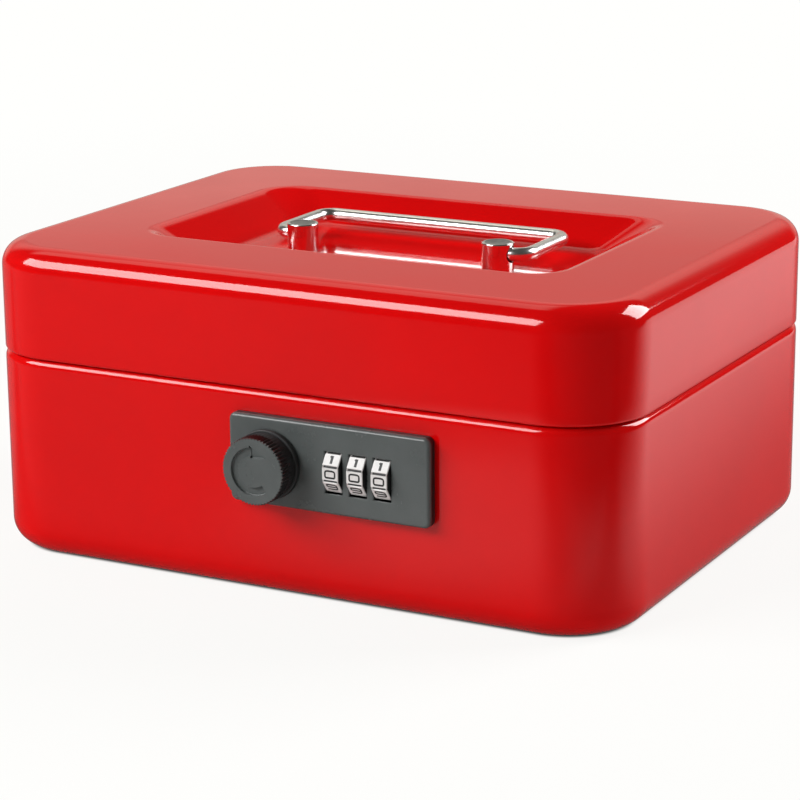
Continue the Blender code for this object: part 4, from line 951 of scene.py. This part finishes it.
silver_moulding = surface(
    "silver_moulding", SILVER, gloss=(0.24, 0.36), metallic=0.0, cloud=500.0, grain=5200.0, depth=5e-6
)
black_ink = surface(
    "black_ink", INK, gloss=(0.35, 0.5), metallic=0.0, cloud=600.0, grain=5000.0, depth=4e-6
)
for number, wheel_x in enumerate(WHEEL_X, 1):
    body = "wheel_%d" % number
    rim = number_wheel(wheel_x)
    put("silver_wheel_%d" % number, [rim], silver_moulding, body, ["number_" + body])
    put("wheel_core_%d" % number, [wheel_core(wheel_x)], black_moulding, body)
    strokes = []
    for figure, paths in enumerate(FIGURES):
        turn = figure * WHEEL_SECTOR
        for path in paths:
            drawn = softened(path) * FIGURE_HALF
            strokes.append(printed(drawn, FIGURE_STROKE, FIGURE_LIFT, turn, wheel_x))
        strokes.append(inked_groove(wheel_x, turn + WHEEL_SECTOR / 2))
    put("wheel_figures_%d" % number, strokes, black_ink, body)

# Coin tray: one black injection moulding with five cups, hung by a thin flange on the base's rim. Its front
# is open round the lock, and its lips are softly rounded.

TRAY_SEAT = 0.0645
TRAY_TOP = 0.066
TRAY_UNDER = 0.04
TRAY_FLOOR = 0.0418
TRAY_EDGE = 0.0005
TRAY_STEPS = 12
LAP_INSET = 0.0045
TUB_INSET = 0.0056
BAY_X = (-0.0158, 0.05465)
BAY_BACK = -0.0521
BAY_R = 0.001
CUP_WALL = 0.0018
CUP_SIDE = 0.0926
CUP_FRONT = -0.0696
CUP_MIDDLE = -0.0018
CUP_BACK = 0.0696
CUP_R = 0.0161
CUP_STEPS = 14
CUP_FILLET = 0.006
CUP_LIP = 0.0006


def tray_outline(inset):
    """Tray's plan with its front bay, drawn in by an inset: each square corner becomes a quarter circle
    about a centre set in from the corner, whose radius loses the inset outside and gains it in the bay."""
    reach_x = LENGTH / 2 - TUB_INSET
    reach_y = DEPTH / 2 - TUB_INSET
    corners = np.array(
        [
            (BAY_X[0], -reach_y),
            (BAY_X[0], BAY_BACK),
            (BAY_X[1], BAY_BACK),
            (BAY_X[1], -reach_y),
            (reach_x, -reach_y),
            (reach_x, reach_y),
            (-reach_x, reach_y),
            (-reach_x, -reach_y),
        ]
    )
    hollow = np.array([1, -1, -1, 1, 1, 1, 1, 1])[:, None]
    radius = np.repeat([BAY_R, CORNER_R - TUB_INSET], 4)[:, None]
    after = np.sign(np.round(np.roll(corners, -1, 0) - corners, 9))
    leaving = np.column_stack([after[:, 1], -after[:, 0]])
    coming = np.roll(leaving, 1, 0)
    centre = corners - hollow * radius * (coming + leaving)
    angle = np.linspace(0, np.pi / 2, TRAY_STEPS + 1)
    way = coming[:, None] * np.cos(angle)[:, None] + leaving[:, None] * np.sin(angle)[:, None]
    size = (hollow * (radius - hollow * inset))[..., None]
    return (centre[:, None] + size * way).reshape(-1, 2)


def tray_skin():
    """Outside of the tray: the outline carried down its section, over the flange, under it and down the tub
    to the underside, where it is closed."""
    lap = TUB_INSET - LAP_INSET
    over = arc((TRAY_EDGE - lap, TRAY_TOP - TRAY_EDGE), TRAY_EDGE, 90, 180, 6)
    foot = arc((TRAY_EDGE, TRAY_UNDER + TRAY_EDGE), TRAY_EDGE, 180, 270, 6)
    section = np.vstack([over, [(-lap, TRAY_SEAT), (0.0, TRAY_SEAT)], foot])
    plan = np.stack([tray_outline(inset) for inset in section[:, 0]])
    height = np.repeat(section[:, 1, None, None], plan.shape[1], 1)
    return pressed(np.concatenate([plan, height], 2), caps=(-1,))


def cup(left, right, front, back):
    """Cup: a rounded lip at the top, straight walls and a fillet into the floor, drawn as rows of a rounded
    rectangle."""
    lip = arc((-CUP_LIP, TRAY_TOP - CUP_LIP), CUP_LIP, 90, 0, 6)
    fillet = arc((CUP_FILLET, TRAY_FLOOR + CUP_FILLET), CUP_FILLET, 180, 270, 12)
    rows = inset_rows(((right - left) / 2, (back - front) / 2), CUP_R, np.vstack([lip, fillet]))
    columns = even_columns(CUP_STEPS, (-NEAR_CORNER, 0.0, NEAR_CORNER))
    return pressed(walls(rows, columns, ((left + right) / 2, (front + back) / 2)), caps=(-1,))


cups = [
    cup(-CUP_SIDE, BAY_X[0] - CUP_WALL, CUP_FRONT, CUP_MIDDLE),
    cup(BAY_X[0], BAY_X[1], BAY_BACK + CUP_WALL, CUP_MIDDLE),
    cup(BAY_X[1] + CUP_WALL, CUP_SIDE, CUP_FRONT, CUP_MIDDLE),
    cup(-CUP_SIDE, -CUP_WALL / 2, CUP_MIDDLE + CUP_WALL, CUP_BACK),
    cup(CUP_WALL / 2, CUP_SIDE, CUP_MIDDLE + CUP_WALL, CUP_BACK),
]
tray = [tray_skin(), *cups]
put("black_tray", tray, black_moulding, "tray", ["coin_tray"], fill=TRAY_TOP)

# Studio floor: a plain sheet of pale paper, white to the camera, with a soft shadow, and a painted contact
# shadow: a dark line under the box's bottom bend. The gloss of the box sees painted light and shade on it:
# a painted shadow of the box, dim up to a little past its right end and bright beyond, a painted dark patch
# further out to the right front, painted shade along the front foot, and a painted pool of light before the
# lock.

FLOOR_SIZE = 6.0
WHITE = (1.0, 1.0, 0.985)
FLOOR_TONE = (0.80, 0.80, 0.79)
SHADOW_SHARE = 0.12
CLEAR_REACH = (0.2, 0.8)
PAINTED_CONTACT_REACH = (0.0176, 0.0199)
PAINTED_CONTACT_DARK = 0.05
PAINTED_SHADOW_SLANT = -0.1
PAINTED_SHADOW_REACH = (0.10, 0.20)
PAINTED_SHADOW_GLOW = (0.23, 1.1)
DARK_PATCH_SLANT = -0.8
DARK_PATCH_REACH = (0.10, 0.345)
DARK_PATCH_SHADE = 0.04
FOOT_SHADE_REACH = (0.005, 0.04)
FOOT_SHADE_DARK = 0.45
PAINTED_POOL_PLACE = (0.02, -0.175, 0.0)
PAINTED_POOL_REACH = (0.03, 0.10)
PAINTED_POOL_GLOW = 0.38


def mapped(tree, value, start, end, low, high):
    """Smooth step of a value from start to end, as a number from low to high."""
    ends = (("From Min", start), ("From Max", end), ("To Min", low), ("To Max", high))
    step = add(tree, "ShaderNodeMapRange", *ends)
    step.interpolation_type = "SMOOTHSTEP"
    tree.links.new(value, step.inputs["Value"])
    return step.outputs["Result"]


def reckon(tree, operation, first, second=0.0):
    """One sum of two node values, or of a node value and a number."""
    node = add(tree, "ShaderNodeMath")
    node.operation = operation
    for socket, value in zip(node.inputs, (first, second)):
        if isinstance(value, float):
            socket.default_value = value
        else:
            tree.links.new(value, socket)
    return node.outputs["Value"]


def slanted(tree, first, second, slant):
    """The first value plus the second times a slant."""
    return reckon(tree, "ADD", first, reckon(tree, "MULTIPLY", second, slant))


def distance(tree, where, place):
    """Distance of the coordinates from a place."""
    node = add(tree, "ShaderNodeVectorMath", (1, place))
    node.operation = "DISTANCE"
    tree.links.new(where, node.inputs[0])
    return node.outputs["Value"]


def rays_and_place(tree, coordinates):
    """The light path's outputs, the coordinates named, and their three parts."""
    where = add(tree, "ShaderNodeTexCoord").outputs[coordinates]
    split = add(tree, "ShaderNodeSeparateXYZ")
    tree.links.new(where, split.inputs["Vector"])
    return add(tree, "ShaderNodeLightPath").outputs, where, split.outputs


floor_corners = np.array([(-1, -1, 0), (1, -1, 0), (1, 1, 0), (-1, 1, 0)]) * FLOOR_SIZE / 2
floor_mesh = bpy.data.meshes.new("floor")
floor_mesh.from_pydata(floor_corners.tolist(), [], [(0, 1, 2, 3)])
floor = bpy.data.objects.new("floor", floor_mesh)
bpy.context.scene.collection.objects.link(floor)
paper = bpy.data.materials.new("paper_floor")
paper.use_nodes = True
tree = paper.node_tree
tree.nodes.clear()
output = add(tree, "ShaderNodeOutputMaterial")
matt = add(tree, "ShaderNodeBsdfDiffuse", ("Color", (*FLOOR_TONE, 1.0)))
glow = add(tree, "ShaderNodeEmission", ("Color", (*WHITE, 1.0)))
mix = add(tree, "ShaderNodeMixShader")
rays, where, part = rays_and_place(tree, "Object")
# Painted shadow of the box, seen only in the gloss: the floor glows dim up to a little past the box's right
# end and bright beyond it.
painted_box_shadow = mapped(tree, slanted(tree, part["X"], part["Y"], PAINTED_SHADOW_SLANT), *PAINTED_SHADOW_REACH, *PAINTED_SHADOW_GLOW)
# Painted pool of light on the floor before the lock, seen only in the gloss.
painted_pool_of_light = mapped(tree, distance(tree, where, PAINTED_POOL_PLACE), *PAINTED_POOL_REACH, PAINTED_POOL_GLOW, 0.0)
# Painted shade in place of a dark card: the floor seen in the gloss goes dark further out to the right
# front.
painted_dark_patch = mapped(tree, slanted(tree, part["X"], part["Y"], DARK_PATCH_SLANT), *DARK_PATCH_REACH, 1.0, DARK_PATCH_SHADE)
# Painted shade along the box's front foot: the floor seen in the gloss is dimmer near the plane of the
# front face.
from_front = reckon(tree, "ABSOLUTE", reckon(tree, "ADD", part["Y"], DEPTH / 2))
foot = mapped(tree, from_front, *FOOT_SHADE_REACH, FOOT_SHADE_DARK, 1.0)
# Painted reflection of the floor for the gloss: painted shadow ramp and pool of light, times the painted
# dark patch and the painted foot shade.
painted_floor_reflection = reckon(tree, "MULTIPLY", reckon(tree, "ADD", painted_box_shadow, painted_pool_of_light), painted_dark_patch)
painted_floor_reflection = reckon(tree, "MULTIPLY", painted_floor_reflection, foot)
mirrored = reckon(tree, "MAXIMUM", rays["Is Glossy Ray"], rays["Is Transmission Ray"])
# Painted contact shadow: the camera sees the floor dark under the box's bottom bend, rising to white about
# 3.6 mm inside the box's outline.
squares = []
for axis, core in (("X", CORE_X), ("Y", CORE_Y)):
    past = reckon(tree, "SUBTRACT", reckon(tree, "ABSOLUTE", part[axis]), core)
    past = reckon(tree, "MAXIMUM", past, 0.0)
    squares.append(reckon(tree, "MULTIPLY", past, past))
from_core = reckon(tree, "SQRT", reckon(tree, "ADD", *squares))
painted_contact_shadow = mapped(tree, from_core, *PAINTED_CONTACT_REACH, PAINTED_CONTACT_DARK, 1.0)
camera_white_with_painted_line = reckon(tree, "MULTIPLY", rays["Is Camera Ray"], painted_contact_shadow)
strength = reckon(tree, "ADD", camera_white_with_painted_line, reckon(tree, "MULTIPLY", mirrored, painted_floor_reflection))
from_middle = distance(tree, where, (0.0, 0.0, 0.0))
clear = mapped(tree, from_middle, *CLEAR_REACH, 1.0 - SHADOW_SHARE, 1.0)
# Inside the painted contact line the floor shows only the painted dark, not the paper's real shading.
clear = reckon(tree, "MAXIMUM", clear, reckon(tree, "SUBTRACT", 1.0, painted_contact_shadow))
share = reckon(tree, "ADD", reckon(tree, "MULTIPLY", rays["Is Camera Ray"], clear), mirrored)
tree.links.new(strength, glow.inputs["Strength"])
tree.links.new(share, mix.inputs["Fac"])
tree.links.new(matt.outputs["BSDF"], mix.inputs[1])
tree.links.new(glow.outputs["Emission"], mix.inputs[2])
tree.links.new(mix.outputs["Shader"], output.inputs["Surface"])
floor_mesh.materials.append(paper)

# Backdrop: white to the camera. The enamel and the chrome mirror a dim studio with a pale cloth behind the
# box, brighter as it climbs and at its foot, and a bright sheet hung above the box's left end.

CLOTH_CLIMB = (0.20, 0.42)
CLOTH_GLOW = (0.28, 0.60)
CLOTH_TONE = (1.0, 0.965, 0.85)
CLOTH_LEAN = 0.5
CLOTH_TOP = (0.41, 0.53)
CLOTH_FRONT = (0.30, 0.55)
CLOTH_RIGHT = (-0.05, 0.35)
CLOTH_FOOT = (0.186, 0.212)
CLOTH_FOOT_GLOW = 0.24
SHEET_GLOW = 1.1
SHEET_RIGHT = (-0.36, -0.22)
SHEET_FRONT = (0.06, 0.11)
SHEET_FOOT = (0.66, 0.78)
DIM_STUDIO = 0.05

world = bpy.data.worlds.new("studio")
bpy.context.scene.world = world
world.use_nodes = True
sky = world.node_tree
background = sky.nodes["Background"]
tint = blend(sky, (CLOTH_TONE, WHITE))
sky.links.new(tint.outputs["Result"], background.inputs["Color"])
sky_rays, _, toward = rays_and_place(sky, "Generated")
seen = sky_rays["Is Camera Ray"]
climb = mapped(sky, toward["Z"], *CLOTH_CLIMB, *CLOTH_GLOW)
cloth = reckon(sky, "ADD", climb, mapped(sky, toward["Z"], *CLOTH_FOOT, CLOTH_FOOT_GLOW, 0.0))
for value, ends, shares in (
    (slanted(sky, toward["Z"], toward["X"], CLOTH_LEAN), CLOTH_TOP, (1.0, 0.0)),
    (toward["Y"], CLOTH_FRONT, (0.0, 1.0)),
    (toward["X"], CLOTH_RIGHT, (1.0, 0.0)),
):
    cloth = reckon(sky, "MULTIPLY", cloth, mapped(sky, value, *ends, *shares))
overhead = mapped(sky, toward["Z"], *SHEET_FOOT, 0.0, SHEET_GLOW)
for axis, ends, shares in (("Y", SHEET_FRONT, (0.0, 1.0)), ("X", SHEET_RIGHT, (1.0, 0.0))):
    overhead = reckon(sky, "MULTIPLY", overhead, mapped(sky, toward[axis], *ends, *shares))
studio = reckon(sky, "ADD", reckon(sky, "MAXIMUM", cloth, overhead), DIM_STUDIO)
unseen = reckon(sky, "MULTIPLY", reckon(sky, "SUBTRACT", 1.0, seen), studio)
sky.links.new(seen, tint.inputs["Factor"])
sky.links.new(reckon(sky, "ADD", seen, unseen), background.inputs["Strength"])

# Lamps: a broad soft one at the front left and a smaller one at the right back, both facing the middle of
# the box and hidden from the camera.

BOX_MIDDLE = (0.0, 0.0, 0.045)


def lamp(name, azimuth, elevation, away, size, radiance):
    """Soft lamp facing the box from an azimuth, clockwise from +Y, and an elevation. Its power is the
    radiance times pi times its area."""
    light = bpy.data.lights.new(name, "AREA")
    light.shape = "RECTANGLE"
    light.size, light.size_y = size
    light.energy = radiance * np.pi * size[0] * size[1]
    turn = np.radians(azimuth)
    rise = np.radians(elevation)
    outward = Vector((np.sin(turn) * np.cos(rise), np.cos(turn) * np.cos(rise), np.sin(rise)))
    made = bpy.data.objects.new(name, light)
    made.location = Vector(BOX_MIDDLE) + outward * away
    made.rotation_euler = outward.to_track_quat("Z", "Y").to_euler()
    made.visible_camera = False
    bpy.context.scene.collection.objects.link(made)


lamp("front_left_lamp", azimuth=-140.0, elevation=33.0, away=1.1, size=(0.98, 0.43), radiance=10.2)
lamp("right_back_lamp", azimuth=44.0, elevation=31.0, away=1.2, size=(0.70, 0.65), radiance=10.6)

# Camera: it stands where the photograph's did, in front of the box to its right and a little above it. A
# long lens looks back at the box, rolled by half a degree.

CAMERA_PLACE = (0.3626, -0.6877, 0.2490)
CAMERA_TARGET = (-0.00234, 0.0, 0.03726)
CAMERA_ROLL = -0.45
LENS = 122.31
FAR_CLIP = 20.0

backward = (Vector(CAMERA_PLACE) - Vector(CAMERA_TARGET)).normalized()
level = Vector((0.0, 0.0, 1.0)).cross(backward).normalized()
upright = backward.cross(level)
roll = np.radians(CAMERA_ROLL)
camera_right = level * np.cos(roll) + upright * np.sin(roll)
camera_up = upright * np.cos(roll) - level * np.sin(roll)
camera_turn = Matrix((camera_right, camera_up, backward)).transposed().to_4x4()
lens = bpy.data.cameras.new("camera")
lens.lens = LENS
lens.clip_end = FAR_CLIP
camera = bpy.data.objects.new("camera", lens)
camera.matrix_world = Matrix.Translation(CAMERA_PLACE) @ camera_turn
bpy.context.scene.collection.objects.link(camera)
bpy.context.scene.camera = camera
bpy.context.scene.view_settings.view_transform = "Standard"
